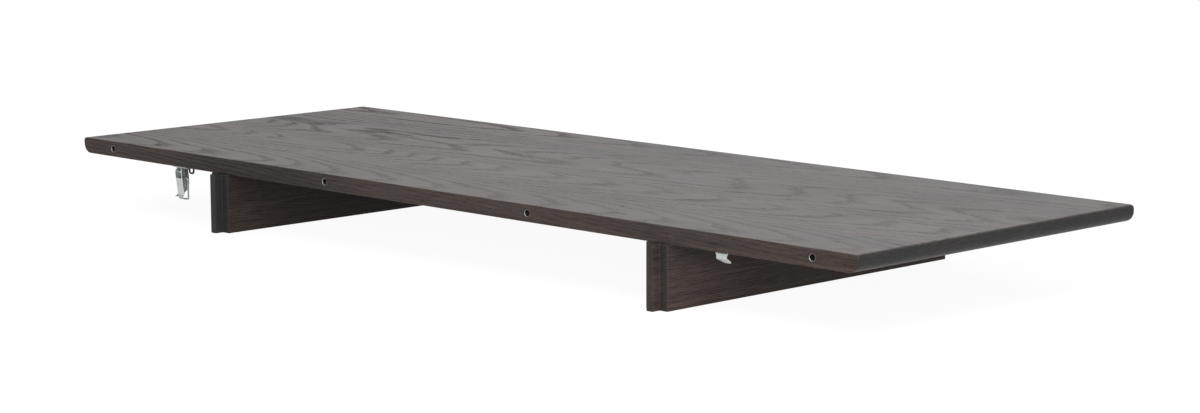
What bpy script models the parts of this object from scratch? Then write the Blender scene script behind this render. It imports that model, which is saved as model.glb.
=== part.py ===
"""Loose extension leaf for a dining table that pulls apart in the middle.

A solid oak board stands on two aprons. Each apron has a tongue at its near end and a groove at its
far end, the near long edge has bushed sockets and the far one has pegs. Each long edge has a toggle
latch near one end and a keeper near the other, which draw the leaf against the table or the next leaf.

X runs along the long edges, Y from the near edge to the far edge and Z up. The origin is on the floor
under the middle of the board. All sizes are in metres and all angles in degrees.
"""
import math

import bmesh
import bpy

# Board
BOARD_LENGTH = 1.400
BOARD_DEPTH = 0.500
BOARD_THICKNESS = 0.021
END_TOP_RADIUS = 0.005
END_NOSE_FLAT = 0.0025
BOARD_ARRIS = 0.0008

# Aprons
APRON_HEIGHT = 0.078
APRON_THICKNESS = 0.034
APRON_SPACING = 0.800
APRON_ARRIS = 0.001
TONGUE_LENGTH = 0.012
TONGUE_THICKNESS = 0.010
GROOVE_CLEARANCE = 0.0004

# Screws that hold the aprons up to the board
APRON_SCREW_PITCH = 0.180
APRON_SCREW_SHANK = 0.005
APRON_SCREW_HEAD = 0.010
APRON_SCREW_HEAD_HEIGHT = 0.0036
APRON_SCREW_LENGTH = 0.045
APRON_SCREW_GRIP = 0.030
COUNTERBORE_DIAMETER = 0.012

# Sockets in the near edge and pegs in the far edge
INNER_SOCKET_SPAN = 0.372
OUTER_SOCKET_INSET = 0.066
PEG_DIAMETER = 0.0072
PEG_REACH = 0.012
PEG_ROOT = 0.022
PEG_TIP_RADIUS = 0.002
SOCKET_CLEARANCE = 0.0002
BUSH_DIAMETER = 0.0115
BUSH_LENGTH = 0.018
BUSH_MOUTH_CHAMFER = 0.0007

# Latches and keepers: where they sit
LATCH_STANDOFF = 0.076
LATCH_SETBACK = 0.009
LEFT_LEVER_ANGLE = -82.0
LEFT_BAIL_ANGLE = -8.0
RIGHT_LEVER_ANGLE = 0.0
RIGHT_BAIL_ANGLE = 0.0

# Latch base
BASE_LENGTH = 0.046
BASE_MARGIN = 0.0014
BASE_OVERHANG = 0.001
BASE_CORNER_RADIUS = 0.004
BASE_SHEET = 0.0015
EAR_RADIUS = 0.0045
EAR_FOOT = 0.011
BASE_SCREW_ROWS = (0.012, 0.036)

# Latch lever, a folded channel
LEVER_WIDTH = 0.014
LEVER_SHEET = 0.0012
LEVER_LENGTH = 0.0265
LEVER_WEB_DROP = 0.006
LEVER_TIP_FLANGE = 0.0025
LEVER_BELLY_HEAD = 0.012
LEVER_BELLY_TIP = 0.008
LEVER_FORK_DEPTH = 0.007
LEVER_HEAD_GAP = 0.0007
LIP_RADIUS = 0.0035
LIP_REACH = 0.0015
PIN_DIAMETER = 0.0035
PIN_PROUD = 0.0004

# Wire bail and the wire hoop that grips the closed lever
BAIL_WIRE = 0.0024
BAIL_PIVOT_ALONG = 0.008
BAIL_PIVOT_RISE = 0.0015
BAIL_CORNER_RADIUS = 0.0020
BAIL_END_RADIUS = 0.0015
HOOP_WIRE = 0.0026
HOOP_DISTANCE = 0.0165
HOOP_CORNER_RADIUS = 0.003

# Keepers
KEEPER_LENGTH = 0.038
KEEPER_PLATE_WIDTH = 0.017
KEEPER_SHEET = 0.0018
KEEPER_BEND_RADIUS = 0.0022
KEEPER_TOE_SLOPE = 27.0
KEEPER_TOE_REACH = 0.0116
KEEPER_TOE_WIDTH = 0.009
KEEPER_TOE_CORNER = 0.0025
KEEPER_SCREW_PITCH = 0.014

# Small screws of the latches and keepers
SCREW_SHANK = 0.0035
SCREW_HEAD = 0.0068
SCREW_HEAD_HEIGHT = 0.0021
SCREW_LENGTH = 0.016

# Fits
GLUE_GAP = 0.0003
WOOD_BORE_GAP = 0.0003
RUNNING_GAP = 0.0001
SIDE_GAP = 0.0004
WIRE_SIDE_GAP = 0.0016
PASSING_GAP = 0.0005

# Roundness
BORE_SIDES = 24
ARC_STEPS = 8
WIRE_RESOLUTION = 2
CUT_MARGIN = 0.002

# Levels and places that follow from the sizes above
UNDERSIDE = APRON_HEIGHT
NEAR_EDGE = -BOARD_DEPTH / 2
FAR_EDGE = BOARD_DEPTH / 2
MID_BOARD = UNDERSIDE + BOARD_THICKNESS / 2
SOCKET_BORE = PEG_DIAMETER + 2 * SOCKET_CLEARANCE
OUTER_SOCKET_SPAN = BOARD_LENGTH - 2 * OUTER_SOCKET_INSET
SOCKET_PLACES = [side * span / 2 for span in (INNER_SOCKET_SPAN, OUTER_SOCKET_SPAN) for side in (-1, 1)]
END_UNDERCUT_RADIUS = BOARD_THICKNESS - END_TOP_RADIUS - END_NOSE_FLAT
COUNTERBORE_DEPTH = APRON_HEIGHT - APRON_SCREW_GRIP
LATCH_LINE = (APRON_SPACING + APRON_THICKNESS) / 2 + LATCH_STANDOFF
BASE_TOP = UNDERSIDE - GLUE_GAP
BASE_UNDERSIDE = BASE_TOP - BASE_SHEET
PIVOT_Y = NEAR_EDGE + LATCH_SETBACK
PIVOT_Z = BASE_UNDERSIDE - LEVER_HEAD_GAP - LEVER_WEB_DROP
BASE_FRONT = PIVOT_Y - BASE_OVERHANG
BASE_SCREW_SPREAD = LEVER_WIDTH + SCREW_HEAD + 2 * GLUE_GAP
BASE_WIDTH = BASE_SCREW_SPREAD + SCREW_HEAD + 2 * BASE_MARGIN
CHANNEL_WIDTH = LEVER_WIDTH - 2 * LEVER_SHEET
LIP_FAR = LEVER_LENGTH + LIP_RADIUS + LEVER_SHEET
LIP_LOW = -LEVER_WEB_DROP - LIP_RADIUS - LIP_REACH
LIP_SWEEP = math.hypot(LIP_FAR - BAIL_PIVOT_ALONG, LIP_LOW - BAIL_PIVOT_RISE)
BAIL_LENGTH = LIP_SWEEP + BAIL_WIRE / 2 + PASSING_GAP
BAIL_INNER_WIDTH = LEVER_WIDTH + 2 * WIRE_SIDE_GAP
BAIL_STRAIGHT_BAR = BAIL_INNER_WIDTH - 2 * (BAIL_CORNER_RADIUS - BAIL_WIRE / 2)
KEEPER_WIDTH = BAIL_STRAIGHT_BAR - 2 * SIDE_GAP
KEEPER_TOP = UNDERSIDE - GLUE_GAP
HOOKED_BAR_Y = FAR_EDGE + LATCH_SETBACK + BAIL_PIVOT_ALONG - BAIL_LENGTH
HOOKED_BAR_Z = PIVOT_Z + BAIL_PIVOT_RISE


def clear_scene():
    """Remove what the scene starts with."""
    for item in list(bpy.data.objects):
        bpy.data.objects.remove(item, do_unlink=True)


def finish(name, colour, roughness, metallic):
    """Return a Principled material."""
    made = bpy.data.materials.new(name)
    made.use_nodes = True
    shader = made.node_tree.nodes["Principled BSDF"]
    shader.inputs["Base Color"].default_value = (*colour, 1.0)
    shader.inputs["Roughness"].default_value = roughness
    shader.inputs["Metallic"].default_value = metallic
    made.diffuse_color = (*colour, 1.0)
    return made


def place(name, data, material, location=(0, 0, 0), rotation=(0, 0, 0), parent=None):
    """Put a mesh or curve in the scene as a named sub-part."""
    item = bpy.data.objects.new(name, data)
    bpy.context.scene.collection.objects.link(item)
    item.location = location
    item.rotation_euler = rotation
    item.parent = parent
    if material is not None:
        data.materials.append(material)
    return item


def to_mesh(shape, name, sharp_angle=35.0):
    """Turn a bmesh into a mesh that is smooth except across its edges."""
    bmesh.ops.recalc_face_normals(shape, faces=shape.faces)
    data = bpy.data.meshes.new(name)
    shape.to_mesh(data)
    shape.free()
    data.shade_smooth()
    data.set_sharp_from_angle(angle=math.radians(sharp_angle))
    return data


def arc(centre, radius, start, end, steps=ARC_STEPS):
    """Return points of an arc in a plane, both ends included."""
    turns = [math.radians(start + (end - start) * i / steps) for i in range(steps + 1)]
    return [(centre[0] + radius * math.cos(a), centre[1] + radius * math.sin(a)) for a in turns]


def bezier(start, pull_start, pull_end, end, steps=ARC_STEPS):
    """Return points of a cubic curve in a plane, both ends included."""
    points = []
    for i in range(steps + 1):
        t = i / steps
        weights = ((1 - t) ** 3, 3 * t * (1 - t) ** 2, 3 * t * t * (1 - t), t ** 3)
        corners = (start, pull_start, pull_end, end)
        points.append(tuple(sum(w * c[k] for w, c in zip(weights, corners)) for k in (0, 1)))
    return points


def rounded_route(corners, radius, steps=ARC_STEPS):
    """Return a polyline in a plane with its inner corners rounded to a radius."""
    route = [corners[0]]
    for before, corner, after in zip(corners, corners[1:], corners[2:]):
        back = (before[0] - corner[0], before[1] - corner[1])
        on = (after[0] - corner[0], after[1] - corner[1])
        back_length, on_length = math.hypot(*back), math.hypot(*on)
        back = (back[0] / back_length, back[1] / back_length)
        on = (on[0] / on_length, on[1] / on_length)
        half = math.acos(back[0] * on[0] + back[1] * on[1]) / 2
        run = radius / math.tan(half)
        middle = (back[0] + on[0], back[1] + on[1])
        reach = radius / math.sin(half) / math.hypot(*middle)
        centre = (corner[0] + middle[0] * reach, corner[1] + middle[1] * reach)
        first = (corner[0] + back[0] * run, corner[1] + back[1] * run)
        last = (corner[0] + on[0] * run, corner[1] + on[1] * run)
        start = math.atan2(first[1] - centre[1], first[0] - centre[0])
        sweep = math.atan2(last[1] - centre[1], last[0] - centre[0]) - start
        sweep = (sweep + math.pi) % (2 * math.pi) - math.pi
        route += arc(centre, radius, math.degrees(start), math.degrees(start + sweep), steps)
    return route + [corners[-1]]


def prism(outline, axis, start, end):
    """Return a bmesh of an outline, given in the other two axes in order, extruded along an axis."""
    shape = bmesh.new()
    others = [k for k in range(3) if k != axis]
    corners = []
    for point in outline:
        place_of = [0.0, 0.0, 0.0]
        place_of[axis] = start
        place_of[others[0]], place_of[others[1]] = point
        corners.append(shape.verts.new(place_of))
    face = shape.faces.new(corners)
    grown = bmesh.ops.extrude_face_region(shape, geom=[face])
    push = [0.0, 0.0, 0.0]
    push[axis] = end - start
    moved = [item for item in grown["geom"] if isinstance(item, bmesh.types.BMVert)]
    bmesh.ops.translate(shape, verts=moved, vec=push)
    bmesh.ops.recalc_face_normals(shape, faces=shape.faces)
    return shape


def box_outline(low, high):
    """Return the corners of a rectangle."""
    return [(low[0], low[1]), (high[0], low[1]), (high[0], high[1]), (low[0], high[1])]


def turned(profile, sides=BORE_SIDES):
    """Return a bmesh of a closed profile of (radius, height) points spun about Z."""
    shape = bmesh.new()
    points = [shape.verts.new((radius, 0.0, height)) for radius, height in profile]
    edges = [shape.edges.new(pair) for pair in zip(points, points[1:] + points[:1])]
    bmesh.ops.spin(shape, geom=points + edges, cent=(0, 0, 0), axis=(0, 0, 1), angle=2 * math.pi,
                   steps=sides, use_merge=True)
    bmesh.ops.remove_doubles(shape, verts=shape.verts, dist=1e-7)
    bmesh.ops.dissolve_degenerate(shape, edges=shape.edges, dist=1e-7)
    return shape


def add_cylinder(shape, centre, axis, diameter, length, sides=BORE_SIDES):
    """Add a cylinder along an axis to a bmesh, from a centre point."""
    grown = bmesh.ops.create_cone(shape, cap_ends=True, segments=sides, radius1=diameter / 2,
                                  radius2=diameter / 2, depth=length)
    verts = grown["verts"]
    for vert in verts:
        x, y, z = vert.co
        vert.co = ((z, x, y), (y, z, x), (x, y, z))[axis]
    bmesh.ops.translate(shape, verts=verts, vec=centre)


def add_bore(shape, mouth, axis, diameter, depth, sides=BORE_SIDES):
    """Add a cutter for a blind bore that goes in from its mouth, along +axis or, if depth < 0, -axis."""
    start = -CUT_MARGIN if depth > 0 else CUT_MARGIN
    centre = list(mouth)
    centre[axis] += (start + depth) / 2
    add_cylinder(shape, centre, axis, diameter, abs(depth - start), sides)


def helper(name, shape, parent=None):
    """Put a bmesh in the scene as a hidden cutter or guide."""
    bmesh.ops.recalc_face_normals(shape, faces=shape.faces)
    data = bpy.data.meshes.new(name)
    shape.to_mesh(data)
    shape.free()
    item = place(name, data, None, parent=parent)
    item.hide_render = True
    item.display_type = "WIRE"
    return item


def combine(target, tool, operation):
    """Add a Boolean of a hidden helper to a sub-part."""
    step = target.modifiers.new(tool.name, "BOOLEAN")
    step.operation = operation
    step.solver = "EXACT"
    step.object = tool


def soften(target, width, steps=1, angle=60.0):
    """Take the sharp edges off a sub-part."""
    step = target.modifiers.new("arris", "BEVEL")
    step.width = width
    step.segments = steps
    step.limit_method = "ANGLE"
    step.angle_limit = math.radians(angle)


def wire(name, route, plane_axis, diameter, material, location=(0, 0, 0), parent=None):
    """Return a bent round wire along a polyline in the plane square to an axis."""
    data = bpy.data.curves.new(name, "CURVE")
    data.dimensions = "3D"
    data.bevel_depth = diameter / 2
    data.bevel_resolution = WIRE_RESOLUTION
    data.use_fill_caps = True
    spline = data.splines.new("POLY")
    spline.points.add(len(route) - 1)
    others = [k for k in range(3) if k != plane_axis]
    for point, (a, b) in zip(spline.points, route):
        at = [0.0, 0.0, 0.0]
        at[others[0]], at[others[1]] = a, b
        point.co = (*at, 1.0)
    return place(name, data, material, location, parent=parent)


def apron_screw_places():
    """Return where the screws of one apron stand along Y."""
    return [-APRON_SCREW_PITCH, 0.0, APRON_SCREW_PITCH]


def faced(side, y, z):
    """Return a place on the line of an end's latch and keeper, which on the right have changed edges."""
    return side * LATCH_LINE, -side * y, z


def facing(side):
    """Return the turn about Z of an end's latch and keeper, half a turn on the right."""
    return math.radians(90 + side * 90)


def base_screw_places(side):
    """Return where the screws of one latch base stand."""
    return [(side * LATCH_LINE + across * BASE_SCREW_SPREAD / 2, -side * (BASE_FRONT + row))
            for row in BASE_SCREW_ROWS for across in (-1, 1)]


def keeper_screw_places(side):
    """Return where the screws of one keeper stand."""
    first = HOOKED_BAR_Y - KEEPER_LENGTH + SCREW_HEAD
    return [(side * LATCH_LINE, -side * (first + k * KEEPER_SCREW_PITCH)) for k in (0, 1)]


def board_profile():
    """Return the board's outline seen along Y: square to the long edges, rounded under at both ends."""
    half = BOARD_LENGTH / 2
    top = UNDERSIDE + BOARD_THICKNESS
    right = arc((half - END_UNDERCUT_RADIUS, UNDERSIDE + END_UNDERCUT_RADIUS), END_UNDERCUT_RADIUS, -90, 0)
    right += arc((half - END_TOP_RADIUS, top - END_TOP_RADIUS), END_TOP_RADIUS, 0, 90)
    return right + [(-x, z) for x, z in reversed(right)]


def build_board(oak):
    """Build the board with its bores for bushes, pegs and screws."""
    shape = prism(board_profile(), 1, NEAR_EDGE, FAR_EDGE)
    board = place("leaf_board", to_mesh(shape, "leaf_board"), oak)
    soften(board, BOARD_ARRIS)
    bores = bmesh.new()
    for x in SOCKET_PLACES:
        bush_bore = BUSH_DIAMETER + 2 * WOOD_BORE_GAP
        add_bore(bores, (x, NEAR_EDGE, MID_BOARD), 1, bush_bore, BUSH_LENGTH + 2 * GLUE_GAP)
        peg_bore = PEG_DIAMETER + 2 * WOOD_BORE_GAP
        add_bore(bores, (x, FAR_EDGE, MID_BOARD), 1, peg_bore, -(PEG_ROOT + GLUE_GAP))
    small_bore = SCREW_SHANK + 2 * WOOD_BORE_GAP
    small_depth = SCREW_LENGTH - BASE_SHEET
    for side in (-1, 1):
        for x, y in base_screw_places(side) + keeper_screw_places(side):
            add_bore(bores, (x, y, UNDERSIDE), 2, small_bore, small_depth, sides=12)
        for y in apron_screw_places():
            apron_bore = APRON_SCREW_SHANK + 2 * WOOD_BORE_GAP
            depth = COUNTERBORE_DEPTH + APRON_SCREW_LENGTH - APRON_HEIGHT + 2 * GLUE_GAP
            add_bore(bores, (side * APRON_SPACING / 2, y, UNDERSIDE), 2, apron_bore, depth, sides=12)
    combine(board, helper("board_bores", bores), "DIFFERENCE")


def apron_outline(middle):
    """Return an apron's outline from above, with a tongue at the near end and a groove at the far end."""
    half = APRON_THICKNESS / 2
    tongue = TONGUE_THICKNESS / 2
    groove = tongue + GROOVE_CLEARANCE
    floor = FAR_EDGE - TONGUE_LENGTH - GROOVE_CLEARANCE
    right = [(tongue, NEAR_EDGE - TONGUE_LENGTH), (tongue, NEAR_EDGE), (half, NEAR_EDGE), (half, FAR_EDGE),
             (groove, FAR_EDGE), (groove, floor)]
    return [(middle + x, y) for x, y in right] + [(middle - x, y) for x, y in reversed(right)]


def build_apron(name, side, oak):
    """Build one apron with counterbores for the screws that hold it up to the board."""
    middle = side * APRON_SPACING / 2
    shape = prism(apron_outline(middle), 2, 0.0, APRON_HEIGHT - GLUE_GAP)
    apron = place(name, to_mesh(shape, name), oak)
    soften(apron, APRON_ARRIS)
    bores = bmesh.new()
    for y in apron_screw_places():
        add_bore(bores, (middle, y, 0.0), 2, COUNTERBORE_DIAMETER, COUNTERBORE_DEPTH)
    combine(apron, helper(name + "_counterbores", bores), "DIFFERENCE")
    holes = bmesh.new()
    for y in apron_screw_places():
        add_cylinder(holes, (middle, y, APRON_HEIGHT / 2), 2, APRON_SCREW_SHANK + 2 * WOOD_BORE_GAP,
                     2 * APRON_HEIGHT, sides=12)
    combine(apron, helper(name + "_screw_holes", holes), "DIFFERENCE")


def screw_profile(head, head_height, shank, length):
    """Return a wood screw's profile, head down: domed head, shank and point."""
    point = shank
    dome = arc((0.0, 0.0), 1.0, 0, 90, steps=4)
    under = [(head / 2 * x, -head_height * z) for x, z in reversed(dome)]
    return under + [(shank / 2, 0.0), (shank / 2, length - point), (0.0, length)]


def build_screw(name, location, size, steel):
    """Build one wood screw with the underside of its head at a place."""
    place(name, to_mesh(turned(screw_profile(*size), sides=12), name), steel, location)


def build_socket_bush(name, x, metal):
    """Build one bush: a sleeve with a chamfered mouth, just inside the near edge."""
    bore, outer, cut = SOCKET_BORE / 2, BUSH_DIAMETER / 2, BUSH_MOUTH_CHAMFER
    profile = [(bore, 0.0), (outer, 0.0), (outer, BUSH_LENGTH), (bore + cut, BUSH_LENGTH),
               (bore, BUSH_LENGTH - cut)]
    place(name, to_mesh(turned(profile), name), metal,
          (x, NEAR_EDGE + GLUE_GAP + BUSH_LENGTH, MID_BOARD), (math.radians(90), 0, 0))


def build_peg(name, x, metal):
    """Build one peg: a round pin with a rounded tip that stands out of the far edge."""
    radius = PEG_DIAMETER / 2
    tip = arc((radius - PEG_TIP_RADIUS, PEG_REACH - PEG_TIP_RADIUS), PEG_TIP_RADIUS, 0, 90, steps=4)
    profile = [(0.0, -PEG_ROOT), (radius, -PEG_ROOT)] + tip + [(0.0, PEG_REACH)]
    place(name, to_mesh(turned(profile), name), metal, (x, FAR_EDGE, MID_BOARD), (math.radians(-90), 0, 0))


def base_outline():
    """Return the latch base's outline from below, a plate with round corners."""
    x = BASE_WIDTH / 2 - BASE_CORNER_RADIUS
    low = BASE_FRONT + BASE_CORNER_RADIUS
    high = BASE_FRONT + BASE_LENGTH - BASE_CORNER_RADIUS
    outline = arc((x, low), BASE_CORNER_RADIUS, -90, 0, steps=4)
    outline += arc((x, high), BASE_CORNER_RADIUS, 0, 90, steps=4)
    outline += arc((-x, high), BASE_CORNER_RADIUS, 90, 180, steps=4)
    return outline + arc((-x, low), BASE_CORNER_RADIUS, 180, 270, steps=4)


def ear_outline():
    """Return an ear's outline seen along X: a tab that leans out from the plate and ends round the pin."""
    root = BASE_TOP - BASE_SHEET / 2
    foot = [(PIVOT_Y + EAR_FOOT, root), (BASE_FRONT, root)]
    return foot + arc((PIVOT_Y, PIVOT_Z), EAR_RADIUS, 180, 360)


def hoop_half_width():
    """Return half the hoop's width over its wire's centres, so that it fits in the closed lever."""
    return (CHANNEL_WIDTH - HOOP_WIRE) / 2 - RUNNING_GAP


def build_latch_base(name, side, steel):
    """Build one latch base: a screwed plate with two folded ears that carry the lever's pin."""
    plate = prism(base_outline(), 2, BASE_UNDERSIDE, BASE_TOP)
    base = place(name, to_mesh(plate, name), steel, faced(side, 0.0, 0.0), (0, 0, facing(side)))
    outer = CHANNEL_WIDTH / 2 - SIDE_GAP
    for hand, word in ((-1, "left"), (1, "right")):
        faces = sorted((hand * outer, hand * (outer - BASE_SHEET)))
        combine(base, helper(f"{name}_{word}_ear", prism(ear_outline(), 0, *faces), base), "UNION")
    holes = bmesh.new()
    add_cylinder(holes, (0.0, PIVOT_Y, PIVOT_Z), 0, PIN_DIAMETER + 2 * RUNNING_GAP, LEVER_WIDTH)
    for hand in (-1, 1):
        for row in BASE_SCREW_ROWS:
            screw = (hand * BASE_SCREW_SPREAD / 2, BASE_FRONT + row, BASE_TOP)
            add_cylinder(holes, screw, 2, SCREW_SHANK + 2 * WOOD_BORE_GAP, BASE_WIDTH, sides=12)
        foot = (hand * hoop_half_width(), PIVOT_Y + HOOP_DISTANCE, BASE_TOP)
        add_cylinder(holes, foot, 2, HOOP_WIRE + 2 * RUNNING_GAP, BASE_WIDTH, sides=12)
    combine(base, helper(name + "_holes", holes, base), "DIFFERENCE")


def build_hoop(name, side, steel):
    """Build one wire hoop that stands on the latch base and grips the closed lever from inside."""
    half = hoop_half_width()
    bottom = PIVOT_Z - LEVER_WEB_DROP + LEVER_SHEET + SIDE_GAP + HOOP_WIRE / 2
    corners = [(-half, BASE_TOP), (-half, bottom), (half, bottom), (half, BASE_TOP)]
    wire(name, rounded_route(corners, HOOP_CORNER_RADIUS, steps=6), 1, HOOP_WIRE, steel,
         faced(side, PIVOT_Y + HOOP_DISTANCE, 0.0))


def build_pin(name, side, steel):
    """Build the pin that a lever turns on."""
    half = LEVER_WIDTH / 2 + PIN_PROUD
    radius = PIN_DIAMETER / 2
    profile = [(0.0, -half), (radius - PIN_PROUD, -half), (radius, -half + PIN_PROUD),
               (radius, half - PIN_PROUD), (radius - PIN_PROUD, half), (0.0, half)]
    place(name, to_mesh(turned(profile), name), steel, faced(side, PIVOT_Y, PIVOT_Z),
          (0, math.radians(90), 0))


def lever_outline():
    """Return the closed lever's outline seen along X, about its pivot: round head, belly and curled lip."""
    drop, sheet = LEVER_WEB_DROP, LEVER_SHEET
    head = arc((0.0, 0.0), drop, 90, 270, steps=2 * ARC_STEPS)
    lip_centre = (LEVER_LENGTH, -drop - LIP_RADIUS)
    front = arc(lip_centre, LIP_RADIUS, 90, 0)
    back = arc(lip_centre, LIP_RADIUS + sheet, 0, 90)
    lip = front + [(front[-1][0], LIP_LOW), (LIP_FAR, LIP_LOW)] + back
    tip = (LEVER_LENGTH - sheet, -drop + sheet + LEVER_TIP_FLANGE)
    rise = (tip[0] - LEVER_BELLY_TIP, tip[1] + LEVER_BELLY_TIP)
    belly = bezier(tip, rise, (LEVER_BELLY_HEAD, drop), head[0])
    return head + lip + belly[:-1]


def build_lever(name, side, angle, steel):
    """Build one lever: a channel with a forked head, turned about its pin by its rest angle."""
    half = LEVER_WIDTH / 2
    shape = prism(lever_outline(), 0, -half, half)
    lever = place(name, to_mesh(shape, name), steel, faced(side, PIVOT_Y, PIVOT_Z),
                  (math.radians(angle), 0, facing(side)))
    channel = CHANNEL_WIDTH / 2
    far = 2 * LEVER_LENGTH
    web_inside = -LEVER_WEB_DROP + LEVER_SHEET
    hollow = prism(box_outline((-far, web_inside), (far, far)), 0, -channel, channel)
    combine(lever, helper(name + "_hollow", hollow, lever), "DIFFERENCE")
    fork = prism(box_outline((-far, -far), (LEVER_FORK_DEPTH, far)), 0, -channel, channel)
    combine(lever, helper(name + "_fork", fork, lever), "DIFFERENCE")
    holes = bmesh.new()
    add_cylinder(holes, (0, 0, 0), 0, PIN_DIAMETER + 2 * RUNNING_GAP, far)
    add_cylinder(holes, (0, BAIL_PIVOT_ALONG, BAIL_PIVOT_RISE), 0, BAIL_WIRE + 2 * RUNNING_GAP, far)
    combine(lever, helper(name + "_holes", holes, lever), "DIFFERENCE")
    return lever


def build_bail(name, lever, angle, steel):
    """Build one wire bail: a loop round the lever whose ends turn in into the lever's flanges."""
    leg = (BAIL_INNER_WIDTH + BAIL_WIRE) / 2
    end = CHANNEL_WIDTH / 2 - SIDE_GAP
    corners = [(leg, 0.0), (leg, BAIL_LENGTH), (-leg, BAIL_LENGTH), (-leg, 0.0)]
    loop = rounded_route(corners, BAIL_CORNER_RADIUS)[1:-1]
    first = rounded_route([(end, 0.0), (leg, 0.0), loop[0]], BAIL_END_RADIUS, steps=4)[:-1]
    last = [(-x, y) for x, y in reversed(first)]
    pivot = (0.0, BAIL_PIVOT_ALONG, BAIL_PIVOT_RISE)
    bail = wire(name, first + loop + last, 2, BAIL_WIRE, steel, pivot, lever)
    bail.rotation_euler.x = math.radians(angle)


def keeper_route():
    """Return the middle line of a keeper's sheet seen along X: a plate, a face and a toe that slopes away."""
    level = KEEPER_TOP - KEEPER_SHEET / 2
    hook = (BAIL_WIRE + KEEPER_SHEET) / 2 + PASSING_GAP
    face = HOOKED_BAR_Y + hook
    slope = math.radians(KEEPER_TOE_SLOPE)
    foot = HOOKED_BAR_Z - hook / math.cos(slope) + hook * math.tan(slope)
    tip = (face - KEEPER_TOE_REACH, foot - KEEPER_TOE_REACH * math.tan(slope))
    corners = [(HOOKED_BAR_Y - KEEPER_LENGTH, level), (face, level), (face, foot), tip]
    return rounded_route(corners, KEEPER_BEND_RADIUS)


def keeper_rows():
    """Return the keeper's middle line and half widths: a wide plate, a neck for the bail and a narrow toe."""
    route = keeper_route()
    plate, neck, toe = (width / 2 for width in (KEEPER_PLATE_WIDTH, KEEPER_WIDTH, KEEPER_TOE_WIDTH))
    bent = ARC_STEPS + 2
    rows = [(y, z, plate) for y, z in route[:bent]]
    rows.append((route[bent][0], HOOKED_BAR_Z + BAIL_WIRE, neck))
    rows += [(y, z, neck) for y, z in route[bent:-1]]
    root, tip = route[-2:]
    run = math.dist(root, tip)
    for across, along in arc((0.0, 0.0), KEEPER_TOE_CORNER, 0, 90, steps=4):
        share = (run - KEEPER_TOE_CORNER + along) / run
        half = neck + (toe - neck) * share - KEEPER_TOE_CORNER + across
        rows.append((root[0] + (tip[0] - root[0]) * share, root[1] + (tip[1] - root[1]) * share, half))
    return rows


def build_keeper(name, side, steel):
    """Build one keeper: a screwed plate folded into a hook for the next leaf's bail."""
    shape = bmesh.new()
    rows = [[shape.verts.new((hand * half, y, z)) for y, z, half in keeper_rows()] for hand in (-1, 1)]
    for a, b, c, d in zip(rows[0], rows[0][1:], rows[1][1:], rows[1]):
        shape.faces.new((a, b, c, d))
    data = bpy.data.meshes.new(name)
    shape.to_mesh(data)
    shape.free()
    keeper = place(name, data, steel, faced(side, 0.0, 0.0), (0, 0, facing(side)))
    sheet = keeper.modifiers.new("sheet", "SOLIDIFY")
    sheet.thickness = KEEPER_SHEET
    sheet.offset = 0.0
    sheet.use_even_offset = True
    holes = bmesh.new()
    for _, y in keeper_screw_places(-1):
        add_cylinder(holes, (0.0, y, KEEPER_TOP), 2, SCREW_SHANK + 2 * WOOD_BORE_GAP, 2 * SCREW_HEAD_HEIGHT,
                     sides=12)
    combine(keeper, helper(name + "_holes", holes, keeper), "DIFFERENCE")


def build_fasteners(side, word, steel):
    """Build the screws of one end: the apron's, the latch base's and the keeper's."""
    apron_size = (APRON_SCREW_HEAD, APRON_SCREW_HEAD_HEIGHT, APRON_SCREW_SHANK, APRON_SCREW_LENGTH)
    for k, y in enumerate(apron_screw_places(), 1):
        seat = (side * APRON_SPACING / 2, y, COUNTERBORE_DEPTH - GLUE_GAP)
        build_screw(f"{word}_apron_screw_{k}", seat, apron_size, steel)
    small = (SCREW_HEAD, SCREW_HEAD_HEIGHT, SCREW_SHANK, SCREW_LENGTH)
    for k, (x, y) in enumerate(base_screw_places(side), 1):
        build_screw(f"{word}_latch_screw_{k}", (x, y, BASE_UNDERSIDE - GLUE_GAP), small, steel)
    for k, (x, y) in enumerate(keeper_screw_places(side), 1):
        seat = (x, y, KEEPER_TOP - KEEPER_SHEET - GLUE_GAP)
        build_screw(f"{word}_keeper_screw_{k}", seat, small, steel)


def build_leaf():
    """Build every sub-part of the leaf."""
    clear_scene()
    top_oak = finish("smoked_oak_board", (0.16, 0.15, 0.145), 0.45, 0.0)
    dark_oak = finish("smoked_oak_apron", (0.045, 0.035, 0.032), 0.55, 0.0)
    zinc = finish("zinc_plated_steel", (0.72, 0.73, 0.74), 0.28, 1.0)
    dark_wire = finish("spring_wire", (0.08, 0.08, 0.085), 0.35, 1.0)
    bush_metal = finish("bush_metal", (0.62, 0.61, 0.58), 0.4, 1.0)
    build_board(top_oak)
    for k, x in enumerate(sorted(SOCKET_PLACES), 1):
        build_socket_bush(f"socket_bush_{k}", x, bush_metal)
        build_peg(f"peg_{k}", x, bush_metal)
    left = (-1, "left", LEFT_LEVER_ANGLE, LEFT_BAIL_ANGLE)
    right = (1, "right", RIGHT_LEVER_ANGLE, RIGHT_BAIL_ANGLE)
    for side, word, lever_angle, bail_angle in (left, right):
        build_apron(f"{word}_apron", side, dark_oak)
        build_latch_base(f"{word}_latch_base", side, zinc)
        build_hoop(f"{word}_latch_hoop", side, dark_wire)
        build_pin(f"{word}_lever_pin", side, zinc)
        lever = build_lever(f"{word}_lever", side, lever_angle, zinc)
        build_bail(f"{word}_bail", lever, bail_angle, zinc)
        build_keeper(f"{word}_keeper", side, zinc)
        build_fasteners(side, word, zinc)
    bpy.context.view_layer.update()


build_leaf()
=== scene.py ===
import logging
import math
from dataclasses import dataclass, field
from enum import Enum
from typing import Callable, Iterable, Sequence

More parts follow.
